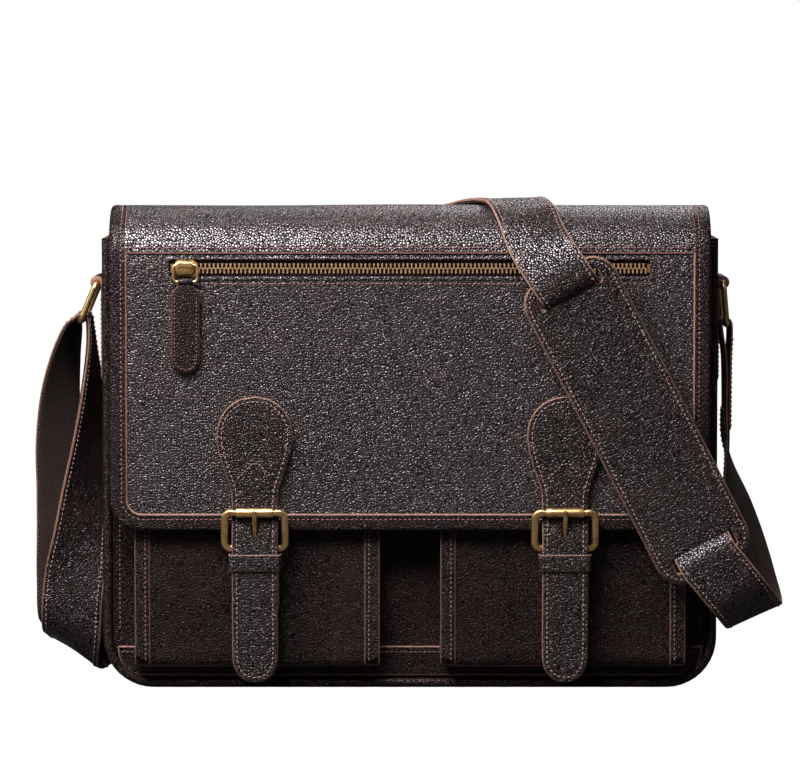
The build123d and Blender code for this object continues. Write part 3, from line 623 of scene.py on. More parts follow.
class Seams:
    """All the stitches of one body, gathered into one mesh."""

    def __init__(self, name, mat):
        self.name, self.mat, self.verts, self.faces = name, mat, [], []

    def run(self, path, to_space, height=0.0, length=2.25, pitch=3.0, radius=0.40,
            closed=False, lift=0.28):
        path = np.asarray(path, float)
        if closed:
            path = np.vstack((path, path[:1]))
        lengths = run_lengths(path)
        total = lengths[-1]
        count = max(1, int(round(total / pitch)))
        # The five rings of a stitch: both ends dive into the leather and are thin.
        out = height + np.array((-0.25, lift * 0.8, lift, lift * 0.8, -0.25))
        radii = radius * np.array((0.55, 0.95, 1.0, 0.95, 0.55))
        for i in range(count):
            centre = (i + 0.5) * (total / count) + rng.uniform(-0.08, 0.08)
            size = length * rng.uniform(0.92, 1.06)
            spots = np.clip(centre + size * np.array((-0.5, -0.25, 0, 0.25, 0.5)), 0, total)
            x = np.interp(spots, lengths, path[:, 0])
            y = np.interp(spots, lengths, path[:, 1])
            side = np.array((-(y[-1] - y[0]), x[-1] - x[0]))
            side /= np.linalg.norm(side) + 1e-9
            skew = rng.uniform(-0.12, 0.12) * np.linspace(-1, 1, 5)
            x = x + side[0] * skew
            y = y + side[1] * skew
            lines = []
            for angle in np.linspace(0, 2 * np.pi, 6, endpoint=False):
                wide = radii * math.cos(angle)
                lines.append(to_space(x + side[0] * wide, y + side[1] * wide,
                                      out + radii * 0.8 * math.sin(angle)))
            base = 30 * len(self.verts)
            self.verts.append(np.stack(lines, 1).reshape(-1, 3))
            self.faces += [[base + j for j in face]
                           for face in ring_faces(5, 6) + end_caps(5, 6)]

    def edges(self, line, start, end, height, lift=0.28):
        """Both edges of a strap."""
        count = max(2, int((end - start) / 3))
        for side in (-1, 1):
            path = np.column_stack((np.full(count, side * STITCH_X),
                                    np.linspace(start, end, count)))
            self.run(path, line.to_space, height=height, lift=lift)

    def done(self):
        return make_mesh(self.name, np.concatenate(self.verts), self.faces, [self.mat], sharp=0)


body_seams = Seams("body_stitches", THREAD_DARK)
side_seams = Seams("side_stitches", THREAD_DARK)
flap_seams = Seams("flap_stitches", THREAD_DARK)
billet_seams = Seams("billet_stitches", THREAD)

# ---------------------------------------------------------------- body of the bag
RIM_Z = 281.0           # top edge of the body
PANEL_Y = 36.0          # inner faces of the front and back panels
SKIN = 2.0              # thickness of the body leather
WALL_X, WALL_Z, WALL_RADIUS = 188.0, 3.6, 26.0      # gussets, bottom, corner between them
OVERLAP = 6.0           # how far gussets and bottom reach past the corner
BAND_Y = 38.05          # inner face of the front bottom band


def build_panels():
    outline = rrect(-185.6, 185.6, 6.2, RIM_Z, (25, 25, 0.8, 0.8), step=8)
    back = lambda x, z, out: np.column_stack((x, PANEL_Y + out, z))
    for tag, to_space in (("front", on_front(PANEL_Y)), ("back", back)):
        panel = slab(tag + "_panel_skin", outline, to_space, SKIN, BODY_SKIN, bevel=0.5, grid=14)
        mount(panel, "bag", tag + "_panel")


def build_walls():
    """Gussets and bottom: three lengths of one U-shaped sheet."""
    wall = WallPath(u_path(WALL_X, WALL_Z, WALL_RADIUS, RIM_Z), ripple=0.6)
    side = RIM_Z - WALL_Z - WALL_RADIUS + WALL_RADIUS * math.pi / 2
    for name, start, end, lift, replaced in (
            ("gusset_left_skin", 0.0, side + OVERLAP, 0.0, "gusset_left"),
            ("bottom_skin", side - OVERLAP, wall.length - side + OVERLAP, -0.9, "bottom_panel"),
            ("gusset_right_skin", wall.length - side - OVERLAP, wall.length, 0.0,
             "gusset_right")):
        sheet = slab(name, rrect(-37.4, 37.4, start, end, 0.8, step=5),
                     raised(wall.to_space, lift), SKIN, BODY_SKIN, bevel=0.5, grid=9)
        mount(sheet, "bag", replaced)


def build_piping():
    path = u_path(188.6, 3.0, 28.4, RIM_Z, step=5)
    for tag, y in (("front", -39.0), ("back", 39.0)):
        points = np.column_stack((path[:, 0], np.full(len(path), y), path[:, 1]))
        cord = tube(tag + "_piping_cord", points, 2.93, TRIM_LEATHER, sides=14, ripple=0.012)
        mount(cord, "bag", tag + "_piping")


def build_bottom_band():
    outline = rrect(-182.5, 182.5, 7.5, 26.0, (16, 16, 0.8, 0.8), step=6)
    band = slab("front_bottom_band_skin", outline, on_front(BAND_Y), 1.3,
                [BODY_LEATHER, EDGE], bevel=0.8, grid=10)
    mount(band, "bag", "front_bottom_band")
    body_seams.run(seg((-181, 22.3), (181, 22.3), 5), on_front(BAND_Y), height=1.35)
    for side in (-1, 1):
        body_seams.run(seg((side * 181.2, 36), (side * 181.2, 276), 5), on_front(PANEL_Y),
                       height=2.05)


build_panels()
build_walls()
build_piping()
build_bottom_band()

# ---------------------------------------------------------------- front pockets
POCKET_X = 95.0         # centre of a pocket
POCKET_HALF = 76.0
POCKET_Y = 50.05        # inner face of the pocket front
POCKET_TOP = 126.0
OVERLAY_LIFT = 1.9      # of binding and hem above the pocket front
OVERLAY_SEAM = 2.95


def pocket_space(centre):
    """The pocket front: a little dished, and curling back at its bottom edge."""
    def to_space(x, z, out):
        across = np.clip(1 - (np.abs(x - centre) / POCKET_HALF) ** 2.2, 0, 1)
        upward = np.clip(1 - np.abs((z - 66) / 62) ** 2.4, 0, 1)
        ripple = 0.35 * np.sin(x / 17 + z / 29.0) * across * upward
        curl = np.clip((20.0 - z) / 5.0, 0, 1)
        dish = -1.1 * across * upward + ripple
        return np.column_stack((x, -(POCKET_Y + out + dish) + 1.6 * curl ** 2, z))
    return to_space


def build_pocket(side, tag):
    centre = side * POCKET_X
    to_space = pocket_space(centre)
    overlay = raised(to_space, OVERLAY_LIFT)
    outline = rrect(centre - POCKET_HALF, centre + POCKET_HALF, 15, POCKET_TOP, (5, 5, 1, 1),
                    step=5)
    face = slab("pocket_%s_face" % tag, outline, to_space, 1.95, BODY_SKIN, bevel=0.6, grid=6)
    mount(face, "bag", "pocket_" + tag)

    path = u_path(75.0, 16.0, 5.0, POCKET_TOP) + np.array((centre, 0))
    wall = WallPath(path, ripple=0.35)
    gusset = slab("pocket_%s_gusset_skin" % tag, rrect(-49.9, -38.4, 0, wall.length, 0.6, step=4),
                  wall.to_space, 1.2, BODY_SKIN, bevel=0.4, grid=7)
    mount(gusset, "bag", "pocket_%s_gusset" % tag)

    for end in (-1, 1):
        x0, x1 = sorted((centre + end * 76.2, centre + end * 66.5))
        place = "outer" if side * end > 0 else "inner"
        binding = slab("pocket_%s_binding_%s" % (tag, place),
                       rrect(x0, x1, 15.5, 125.5, 1.2, step=4), overlay, 1.0, TRIM_DARK,
                       bevel=0.8, grid=6)
        mount(binding, "bag")
        seam_x = centre + end * 69.5
        body_seams.run(seg((seam_x, 18), (seam_x, 124), 5), to_space, height=OVERLAY_SEAM)

    hem = slab("pocket_%s_hem" % tag, rrect(centre - 75, centre + 75, 116, 127.0, 1.5, step=4),
               overlay, 1.0, TRIM_DARK, bevel=0.7, grid=7)
    mount(hem, "bag")
    body_seams.run(seg((centre - 66, 119), (centre + 66, 119), 5), to_space, height=OVERLAY_SEAM)


for side, tag in SIDES:
    build_pocket(side, tag)

# ---------------------------------------------------------------- inside of the bag
# From the rim down to the floor: z, half depth, half width.
LINING_RINGS = [
    (281.3, 37.2, 186.5), (281.6, 35.2, 184.2), (280.0, 34.6, 183.4), (270, 34.4, 183.0),
    (230, 34.2, 182.6), (180, 34.0, 182.4), (120, 34.1, 182.3), (70, 34.2, 181.5),
    (34, 34.2, 178.5), (18, 33.8, 170), (10.5, 32.5, 160.5), (9.6, 26.0, 150)]


def box_mm(name):
    return [np.array(corner) * 1000 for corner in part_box(name)]


def build_lining():
    loops = []
    for z, depth, width in LINING_RINGS:
        ring = even(rrect(-width, width, -depth, depth, 4.0, step=8, count=5), 160)
        ripple = 0.35 * np.sin(ring[:, 0] / 13 + z / 19) if z < 275 else 0
        loops.append(np.column_stack((ring[:, 0], ring[:, 1] * (1 - 0.01 * np.abs(ripple)),
                                      np.full(160, z))))
    lining = loft("body_lining_cloth", loops, [LINING], cap_end=True)
    mount(lining, "bag", "body_lining", slot="lining_fabric")


def build_divider():
    low, high = box_mm("laptop_divider")
    divider = slab("laptop_divider_pad",
                   rrect(low[0], high[0], low[2], high[2], (8, 8, 18, 18), step=8),
                   lambda x, z, out: np.column_stack((x, high[1] - out, z)),
                   high[1] - low[1], [PADDED_CLOTH] * 3, bevel=2.2, grid=14)
    mount(divider, "bag", "laptop_divider", slot="divider_fabric")


def build_base_board():
    low, high = box_mm("base_board")
    board = slab("base_board_plate", rrect(low[0], high[0], low[1], high[1], 6, step=8),
                 lambda x, y, out: np.column_stack((x, y, low[2] + out)),
                 high[2] - low[2], [BOARD] * 2, bevel=0.4, grid=20)
    mount(board, "bag", "base_board", slot="board")


build_lining()
build_divider()
build_base_board()

# ---------------------------------------------------------------- ring tabs on the gussets
RING_X, RING_Z = 196.1, 252.5       # axis of the fold that holds a ring
TAB_X = 190.1                       # inner face of the tabs
TAB_RADII = (5, 5, 1, 1)


def build_ring_tab(side, tag):
    def to_space(y, z, out):
        return np.column_stack((side * (TAB_X + out), y, z))

    under = slab("ring_tab_%s_under" % tag, rrect(-17.4, 17.4, 189, RIM_Z, TAB_RADII, step=5),
                 to_space, 1.9, TRIM_RAW, bevel=0.7, grid=9)
    mount(under, "bag", "ring_tab_" + tag)
    over = slab("ring_tab_%s_over" % tag, rrect(-17.2, 17.2, 190, 249.5, TAB_RADII, step=5),
                raised(to_space, 1.9), 1.8, TRIM_RAW, bevel=0.8, grid=9, groove=2.8)
    mount(over, "bag")
    fold = sleeve("ring_tab_%s_fold" % tag, (side * RING_X, RING_Z), 1.98, 4.25, -17.3, 17.3,
                  axis=1, mats=TRIM_RAW)
    mount(fold, "bag")
    stitch_line = inset(rrect(-17.2, 17.2, 190, 244, TAB_RADII, step=4), 2.8)
    side_seams.run(stitch_line, to_space, height=3.65, closed=True)


for side, tag in SIDES:
    build_ring_tab(side, tag)

# ---------------------------------------------------------------- course of the flap
BEND_Y, BEND_Z, BEND_RADIUS = -24.0, 266.0, 34.0    # bend from the crown to the front
TOP_Z = BEND_Z + BEND_RADIUS
CROWN_END_Y = 38.0
CROWN_RISE = 13.5                   # of the crown from its back end to its top
CROWN_RADIUS = ((CROWN_END_Y - BEND_Y) ** 2 + CROWN_RISE ** 2) / (2 * CROWN_RISE)
HINGE_Y, HINGE_Z = 39.5, 280.5      # top of the strip down the back


def flap_profile():
    """Rows of y, z and outward normal, up the back, over the crown and down the front."""
    rows = [(HINGE_Y, z, 1.0, 0.0) for z in np.linspace(248, HINGE_Z, 9)]
    for t in np.linspace(0.15, 0.85, 5):
        turn = t * math.pi / 2
        rows.append((HINGE_Y - 1.4 * (1 - math.cos(turn)), HINGE_Z + 5.6 * math.sin(turn),
                     math.cos(t * 1.15), math.sin(t * 1.15)))
    hinge = len(rows)
    for a in np.linspace(math.asin((CROWN_END_Y - BEND_Y) / CROWN_RADIUS), 0, 20):
        rows.append((BEND_Y + CROWN_RADIUS * math.sin(a),
                     TOP_Z - CROWN_RADIUS + CROWN_RADIUS * math.cos(a), math.sin(a), math.cos(a)))
    for degrees in np.linspace(0, 90, 19)[1:]:
        a = math.radians(degrees)
        rows.append((BEND_Y - BEND_RADIUS * math.sin(a), BEND_Z + BEND_RADIUS * math.cos(a),
                     -math.sin(a), math.cos(a)))
    bend_end = len(rows) - 1
    rows += [(BEND_Y - BEND_RADIUS, z, -1.0, 0.0) for z in np.linspace(262, 96, 60)]
    rows = np.array(rows)
    steps = np.hypot(np.diff(rows[:, 0]), np.diff(rows[:, 1]))
    runs = np.concatenate(([0], np.cumsum(steps)))
    runs -= runs[hinge]
    return rows, runs, float(runs[bend_end])


# Distance along the flap, "run", is zero at the back end of the crown.
FLAP_ROWS, FLAP_RUNS, BEND_END = flap_profile()


def run_at(z):
    """Distance along the flap for a height on its front."""
    if z <= BEND_Z:
        return BEND_END + (BEND_Z - z)
    return BEND_END - BEND_RADIUS * math.asin(min(1, (z - BEND_Z) / BEND_RADIUS))


FLAP_END = run_at(100.0)


def flap_space(x, run, out):
    fade = (np.clip((186 - np.abs(x)) / 40, 0, 1) * np.clip((FLAP_END - run) / 30, 0, 1)
            * np.clip(run / 40, 0, 1))
    out = out + fade * waves(x, run, 0.28, (47.0, 61.0))
    y, z, normal_y, normal_z = [np.interp(run, FLAP_RUNS, column) for column in FLAP_ROWS.T]
    size = np.hypot(normal_y, normal_z)
    return np.column_stack((x, y + out * normal_y / size, z + out * normal_z / size))


# ---------------------------------------------------------------- flap
FLAP_SKIN = 2.0
EDGE_PATH = u_path(186.0, -FLAP_END, 20.0, -0.2, step=5.0, arc_points=12) * (1, -1)
EDGE_TANGENT = unit(np.gradient(EDGE_PATH, axis=0))
EDGE_INWARD = np.column_stack((EDGE_TANGENT[:, 1], -EDGE_TANGENT[:, 0]))
BINDING_WIDTH = 11.0
# Cross section of the binding: distance from the flap's edge, height, material.
BINDING_SECTION = [
    (BINDING_WIDTH, -3.3, 0), (3.0, -3.5, 0), (1.1, -3.1, 0), (0.15, -2.1, 0),
    (-0.12, -1.0, 0), (0.25, 0.1, 0), (1.1, 0.85, 0), (2.4, 1.2, 0), (4.6, 1.15, 0),
    (6.6, 1.05, 0), (7.4, 0.82, 0), (8.2, 1.0, 0), (9.4, 1.1, 0),
    (BINDING_WIDTH - 0.95, 1.05, 1), (BINDING_WIDTH, 0.3, 1), (BINDING_WIDTH, -0.4, 1),
    (BINDING_WIDTH, -1.0, 1)]
BINDING_SEAM = 7.4      # the stitches lie in the binding's dip
# Lip of the zip window: share of the way from its outer to its inner outline, height.
LIP_SECTION = [(0.0, -0.1), (0.0, 0.25), (0.25, 0.55), (0.6, 0.62), (0.9, 0.35), (1.0, -0.5),
               (1.0, -1.8)]


def build_flap_sheet():
    window = rrect(-149.5, 149.0, run_at(268.4), run_at(257.6), 1.5, step=5)
    outline = rrect(-184.5, 184.5, 1.5, FLAP_END - 1.4, (0.8, 0.8, 19, 19), step=6)
    sheet = slab("flap_front_sheet", outline, raised(flap_space, -FLAP_SKIN), FLAP_SKIN,
                 [FLAP_LEATHER, EDGE], bevel=0.6, holes=[window], grid=7)
    mount(sheet, "flap", "flap_panel")


def build_window_lip():
    count = 400
    outer = even(rrect(-152.0, 151.6, run_at(270.0), run_at(255.6), 3.0, step=5), count)
    inner = even(rrect(-148.6, 148.2, run_at(268.2), run_at(258.0), 1.2, step=5), count)
    loops = []
    for share, height in LIP_SECTION:
        ring = outer * (1 - share) + inner * share
        loops.append(flap_space(ring[:, 0], ring[:, 1], np.full(count, height)))
    mount(loft("zip_window_lip", loops, [FLAP_LEATHER]), "flap")


def build_crown_sheet():
    """One sheet from low on the back over the crown to the top of the front."""
    outline = rrect(-176.6, 176.6, FLAP_RUNS[0] + 0.5, run_at(272.0), 0.8, step=5)
    sheet = slab("flap_crown_sheet", outline, raised(flap_space, 0.05), 1.15,
                 [FLAP_LEATHER, EDGE_BROWN], bevel=0.8, grid=6)
    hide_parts("flap_top_band", "flap_back_strip")
    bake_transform(sheet)


def build_binding():
    """Rolled binding along both sides and the bottom of the flap."""
    count, rows = len(EDGE_PATH), len(BINDING_SECTION)
    verts, faces, face_mats = [], [], []
    for k, (depth, height, mat) in enumerate(BINDING_SECTION):
        line = EDGE_PATH + EDGE_INWARD * depth
        verts.append(flap_space(line[:, 0], line[:, 1], np.full(count, height)))
        here, there = k * count, (k + 1) % rows * count
        faces += [(here + i, here + i + 1, there + i + 1, there + i) for i in range(count - 1)]
        face_mats += [mat] * (count - 1)
    faces += [[k * count + end for k in range(rows)] for end in (0, count - 1)]
    binding = make_mesh("flap_binding_roll", np.concatenate(verts), faces, TRIM_RAW,
                        face_mats + [1, 1], sharp=0.9)
    mount(binding, "flap", "flap_binding")


def flap_lining_space(x, run, out):
    """The lining stands off the sheet between its top and bottom edges."""
    gap = (np.clip((run - run_at(285)) / 14, 0, 1)
           * np.clip((run_at(124) - run) / 25, 0, 1))
    return flap_space(x, run, -3.3 - 3.7 * gap + out)


def build_flap_lining():
    outline = rrect(-175.5, 175.5, 2.0, run_at(111), (1, 1, 11, 11), step=7)
    lining = slab("flap_lining_cloth", outline, flap_lining_space, 0.7, [LINING] * 2,
                  bevel=0.3, grid=9)
    mount(lining, "flap", "flap_lining", slot="lining_fabric")


def stitch_flap():
    line = EDGE_PATH + EDGE_INWARD * BINDING_SEAM
    flap_seams.run(line[6:-6], flap_space, height=0.88)
    # Along the crown sheet's front edge, then down both sides and under the zip window.
    left, right, upper, lower, bottom = -154.3, 153.8, run_at(271), run_at(254), run_at(253.4)
    flap_seams.run(seg((-174, run_at(275.4)), (174, run_at(275.4)), 4), flap_space, height=1.2)
    for x in (left, right):
        flap_seams.run(seg((x, upper), (x, lower), 3), flap_space)
    flap_seams.run(seg((left, bottom), (right, bottom), 4), flap_space)


build_flap_sheet()
build_window_lip()
build_crown_sheet()
build_binding()
build_flap_lining()
stitch_flap()

# ---------------------------------------------------------------- zip
ZIP_Z = 263.0
CORD_OFFSET = 2.75      # of the cords above and below the zip's middle
TOOTH_PITCH = 2.6
# A tooth from shank over waist to head: distance towards the other row, half width.
TOOTH_PROFILE = [(-1.95, 0.42), (-1.5, 0.62), (-0.3, 0.62), (0.25, 0.44), (0.8, 0.58),
                 (1.35, 0.56), (1.65, 0.3)]
SLIDER_X = -138.5
SLIDER_Y, SLIDER_Z = -58.7, 263.4
SLIDER_HALF = (6.7, 3.5, 5.0)       # half width, depth, half height
PULL_HALF, PULL_Z = 8.8, 207.3      # half width, centre of the round end
PULL_SHOULDER = [(4.6, 256.6), (4.6, 252.5), (8.2, 249.0), (8.8, 246.0)]   # x, z


def build_zip_tapes():
    for tag, side, low, high in (("upper", 1, 265.2, 273.0), ("lower", -1, 253.0, 260.8)):
        tape = slab("zip_tape_" + tag, rrect(-151, 151, run_at(high), run_at(low), 0.5, step=6),
                    raised(flap_space, -2.75), 0.55, [ZIP_TAPE] * 2, bevel=0.2, grid=8)
        mount(tape, "flap", "zipper_tape_" + tag, slot="zip_tape")
        path = np.array([(x, -55.4, ZIP_Z + side * CORD_OFFSET)
                         for x in np.linspace(-150, 150, 60)])
        cord = tube("zip_cord_" + tag, path, 0.8, ZIP_TAPE, sides=8)
        mount(cord, "flap", slot="zip_tape")


def tooth(x, y, z, side):
    return [(x + offset, y + depth, z - side * reach)
            for reach, half in TOOTH_PROFILE
            for offset, depth in ((-half, 1.2), (-half, -1.05), (-half * 0.6, -1.45),
                                  (half * 0.6, -1.45), (half, -1.05), (half, 1.2))]


def build_zip_teeth():
    tooth_faces = ring_faces(7, 6) + end_caps(7, 6)
    for tag, side, shift in (("upper", 1, 0.0), ("lower", -1, TOOTH_PITCH / 2)):
        verts, faces = [], []
        for x in np.arange(-144.5 + shift, 145.5, TOOTH_PITCH):
            base = len(verts)
            verts += tooth(x, -56.9, ZIP_Z + side * 1.2, side)
            faces += [[base + i for i in face] for face in tooth_faces]
        # The teeth take the brightened brass, painted light against the shade of the window.
        teeth = make_mesh("zip_teeth_" + tag, verts, faces, [TOOTH_BRASS_PAINTED_LIGHT], sharp=0.5)
        mount(teeth, "flap", "zipper_teeth_" + tag, slot="antique_brass")


def rounded_square(angle, power):
    """A point on a superellipse of half width 1."""
    x, y = math.cos(angle), math.sin(angle)
    scale = 1 / (abs(x) ** power + abs(y) ** power) ** (1 / power)
    return x * scale, y * scale


def build_slider_dome():
    sides, rings = 24, 12
    width, depth, height = SLIDER_HALF
    verts = []
    for i in range(rings + 1):
        tilt = (math.pi / 2) * i / rings
        shrink = math.cos(tilt) ** 0.55 if i < rings else 0.02
        for j in range(sides):
            angle = 2 * math.pi * j / sides
            x, z = rounded_square(angle, 3)
            taper = 1.0 - 0.13 * math.cos(angle)
            verts.append((SLIDER_X - 0.4 + width * shrink * x,
                          SLIDER_Y - depth * math.sin(tilt) ** 0.9,
                          SLIDER_Z + height * shrink * z * taper))
    faces = ring_faces(rings + 1, sides)
    faces += [list(range(sides)), [rings * sides + j for j in range(sides)]]
    dome = make_mesh("zip_slider_dome", verts, faces, [BRASS_LOCAL], sharp=1.1)
    mount(dome, "zip_slider", slot="antique_brass")


def build_zip_pull():
    outline = [(-x, z) for x, z in PULL_SHOULDER]
    outline += seg((-PULL_HALF, 246), (-PULL_HALF, PULL_Z), 4)[1:]
    outline += arc(0, PULL_Z, PULL_HALF, range(180, 361, 15))
    outline += seg((PULL_HALF, PULL_Z), (PULL_HALF, 246), 4)[1:]
    outline = np.array(outline + PULL_SHOULDER[::-1]) + np.array((SLIDER_X, 0))
    to_space = on_front(59.5)
    pull = slab("zip_tab_leather", outline, to_space, 2.5, TRIM_DARK, bevel=0.7, grid=5,
                crown=0.35)
    mount(pull, "zip_tab", "zip_pull_tab")
    fold = sleeve("zip_tab_fold", (-60.75, 254.8), 1.02, 2.25, SLIDER_X - 4.7, SLIDER_X + 4.7,
                  axis=0, mats=TRIM_DARK)
    mount(fold, "zip_tab")
    seams = Seams("zip_tab_stitches", THREAD_DARK)
    line = inset(outline, 2.0)
    line = open_at_gap(line[line[:, 1] < 247])
    seams.run(line, to_space, height=2.62, length=1.8, pitch=2.5, radius=0.3)
    mount(seams.done(), "zip_tab")


build_zip_tapes()
build_zip_teeth()
build_slider_dome()
build_zip_pull()

# ---------------------------------------------------------------- closing straps
BILLET_X = 96.0
BILLET_HALF = 14.25
# Right half of the billet's wide head and of its tip, from the top down: x, z.
BILLET_HEAD = [
    (0, 184), (9, 182.3), (16.5, 177.3), (21.6, 170), (23.6, 161), (22.8, 152), (20.6, 143),
    (17.9, 135), (15.6, 128), (14.5, 122.5), (BILLET_HALF, 116)]
BILLET_TIP = [(BILLET_HALF, 24), (13.6, 17.5), (10.9, 11.6), (6.0, 7.5), (0, 6.2)]
# Course of the billet's back face from its tip up: z, y.
BILLET_COURSE = np.array([
    (0, -60.2), (12, -59.9), (30, -60.0), (50, -61.1), (70, -62.4), (79, -62.75), (88, -62.75),
    (97, -62.55), (103, -61.4), (109, -59.9), (114, -59.3), (122, -59.15), (190, -59.15)])
BILLET_Z = np.linspace(0, 190, 191)
# Keeper loop: distance inwards from its inner outline, z.
KEEPER_SECTION = [
    (0, 76.4), (-0.35, 76.05), (-0.95, 76.05), (-1.25, 76.5), (-1.3, 78.5), (-1.3, 81),
    (-1.3, 84), (-1.25, 85.8), (-0.95, 86.25), (-0.35, 86.25), (0, 85.9)]
SNAP_SHIFT = 0.8        # of the snap tab to the right of its billet
SNAP_HALF, SNAP_Z, SNAP_TOP = 14.0, 55.0, 86.6      # half width, round end's centre, top
HEEL_Y, HEEL_Z = -59.0, 89.5                        # heel bar of the buckle


def smooth_course():
    course = np.interp(BILLET_Z, BILLET_COURSE[:, 0], BILLET_COURSE[:, 1])
    kernel = np.exp(-0.5 * (np.arange(-8, 9) / 2.6) ** 2)
    return np.convolve(np.pad(course, 8, mode="edge"), kernel / kernel.sum(), mode="valid")


BILLET_Y = smooth_course()


def billet_outline(centre):
    right = list(spline(BILLET_HEAD, 3))
    right += seg((BILLET_HALF, 116), (BILLET_HALF, 24), 4)[1:]
    right += list(spline(BILLET_TIP, 4))[1:]
    right = np.array(right)
    left = right[1:-1][::-1] * np.array((-1, 1))
    return ccw(np.vstack((right, left)) + np.array((centre, 0)))


def build_billet(centre, tag):
    """The strap on the flap, its backing ply and their stitches."""
    def to_space(x, z, out):
        sway = 0.35 * np.sin(z / 13.0 + centre) * np.clip((80 - z) / 40, 0, 1)
        return np.column_stack((x, np.interp(z, BILLET_Z, BILLET_Y) - out + sway, z))

    outline = billet_outline(centre)
    hole = rrect(centre - 1.75, centre + 1.75, 97.2, 105.0, 1.7, step=3, count=5)
    billet = slab("billet_%s_leather" % tag, outline, to_space, 3.0, STRAP_SKIN, bevel=0.65,
                  holes=[hole], grid=4.5, groove=3.1, hole_mat=0)
    mount(billet, "flap", "billet_" + tag)
    head = open_at_gap(outline[outline[:, 1] > 120.5])
    backing = slab("billet_backing_%s_ply" % tag, inset(head, 0.15), on_front(58.06), 1.0,
                   STRAP_SKIN, bevel=0.4, grid=8)
    mount(backing, "flap", "billet_backing_" + tag)
    billet_seams.run(inset(outline, 3.1), to_space, height=2.95, closed=True, pitch=3.05)
    peak = (centre + 0.6, 144.2)
    chevron = seg((centre - 11.2, 132.5), peak, 3) + seg(peak, (centre + 12.0, 132.3), 3)[1:]
    billet_seams.run(chevron, to_space, height=3.05, pitch=2.9, length=2.1)


def build_keeper(centre, tag):
    inner = rrect(centre - 15.15, centre + 15.15, -65.75, -55.45, 1.6, step=3, count=5)
    loops = [np.column_stack((inset(inner, depth), np.full(len(inner), z)))
             for depth, z in KEEPER_SECTION]
    keeper = loft("keeper_%s_loop" % tag, loops + loops[:1], STRAP_SKIN,
                  [1, 1, 1, 0, 0, 0, 0, 1, 1, 1, 0])
    mount(keeper, "keeper_" + tag, "keeper_" + tag)


def build_snap_tab(centre, tag):
    """The tab behind the billet, folded round the buckle's heel bar."""
    middle = centre + SNAP_SHIFT
    outline = seg((-SNAP_HALF, SNAP_TOP), (-SNAP_HALF, SNAP_Z), 5)[:-1]
    outline += arc(0, SNAP_Z, SNAP_HALF, range(180, 361, 12))
    outline += seg((SNAP_HALF, SNAP_Z), (SNAP_HALF, SNAP_TOP), 5)[1:]
    outline = np.array(outline) + np.array((middle, 0))
    to_space = on_front(55.7)
    snap = slab("snap_tab_%s_leather" % tag, outline, to_space, 3.1, STRAP_SKIN, bevel=0.8,
                grid=6, groove=2.9)
    mount(snap, "flap", "snap_tab_" + tag)
    billet_seams.run(inset(outline, 2.9), to_space, height=2.9, closed=True)
    spans = ((middle - 13.9, centre - 1.9), (centre + 1.9, middle + 13.9))
    for number, (start, end) in enumerate(spans, 1):
        fold = sleeve("snap_tab_%s_fold_%d" % (tag, number), (HEEL_Y, HEEL_Z), 1.85, 3.3,
                      start, end, axis=0, mats=STRAP_SKIN)
        mount(fold, "flap")


for side, tag in SIDES:
    for build in (build_billet, build_keeper, build_snap_tab):
        build(side * BILLET_X, tag)

# ---------------------------------------------------------------- shoulder strap
STRAP_HALF = 18.9
STITCH_X = 15.9         # of the stitches from a strap's middle
RING_RADIUS = 26.3      # from the fold to where the strap hangs in the ring


def on_crown(x, y, out):
    height = math.sqrt((CROWN_RADIUS + out) ** 2 - (y - BEND_Y) ** 2)
    return x, y, TOP_Z - CROWN_RADIUS + height


def on_bend(x, degrees, out):
    radius, angle = BEND_RADIUS + out, math.radians(degrees)
    return x, BEND_Y - radius * math.sin(angle), BEND_Z + radius * math.cos(angle)


def ring_point(degrees):
    """x and z of the lowest part of a ring swung outwards by degrees."""
    angle = math.radians(degrees)
    return RING_X + RING_RADIUS * math.sin(angle), RING_Z - RING_RADIUS * math.cos(angle)


DRAPE_START = on_crown(41.5, 20, 3.4)
DRAPE_END = (191.5, -75.6, 75.3)
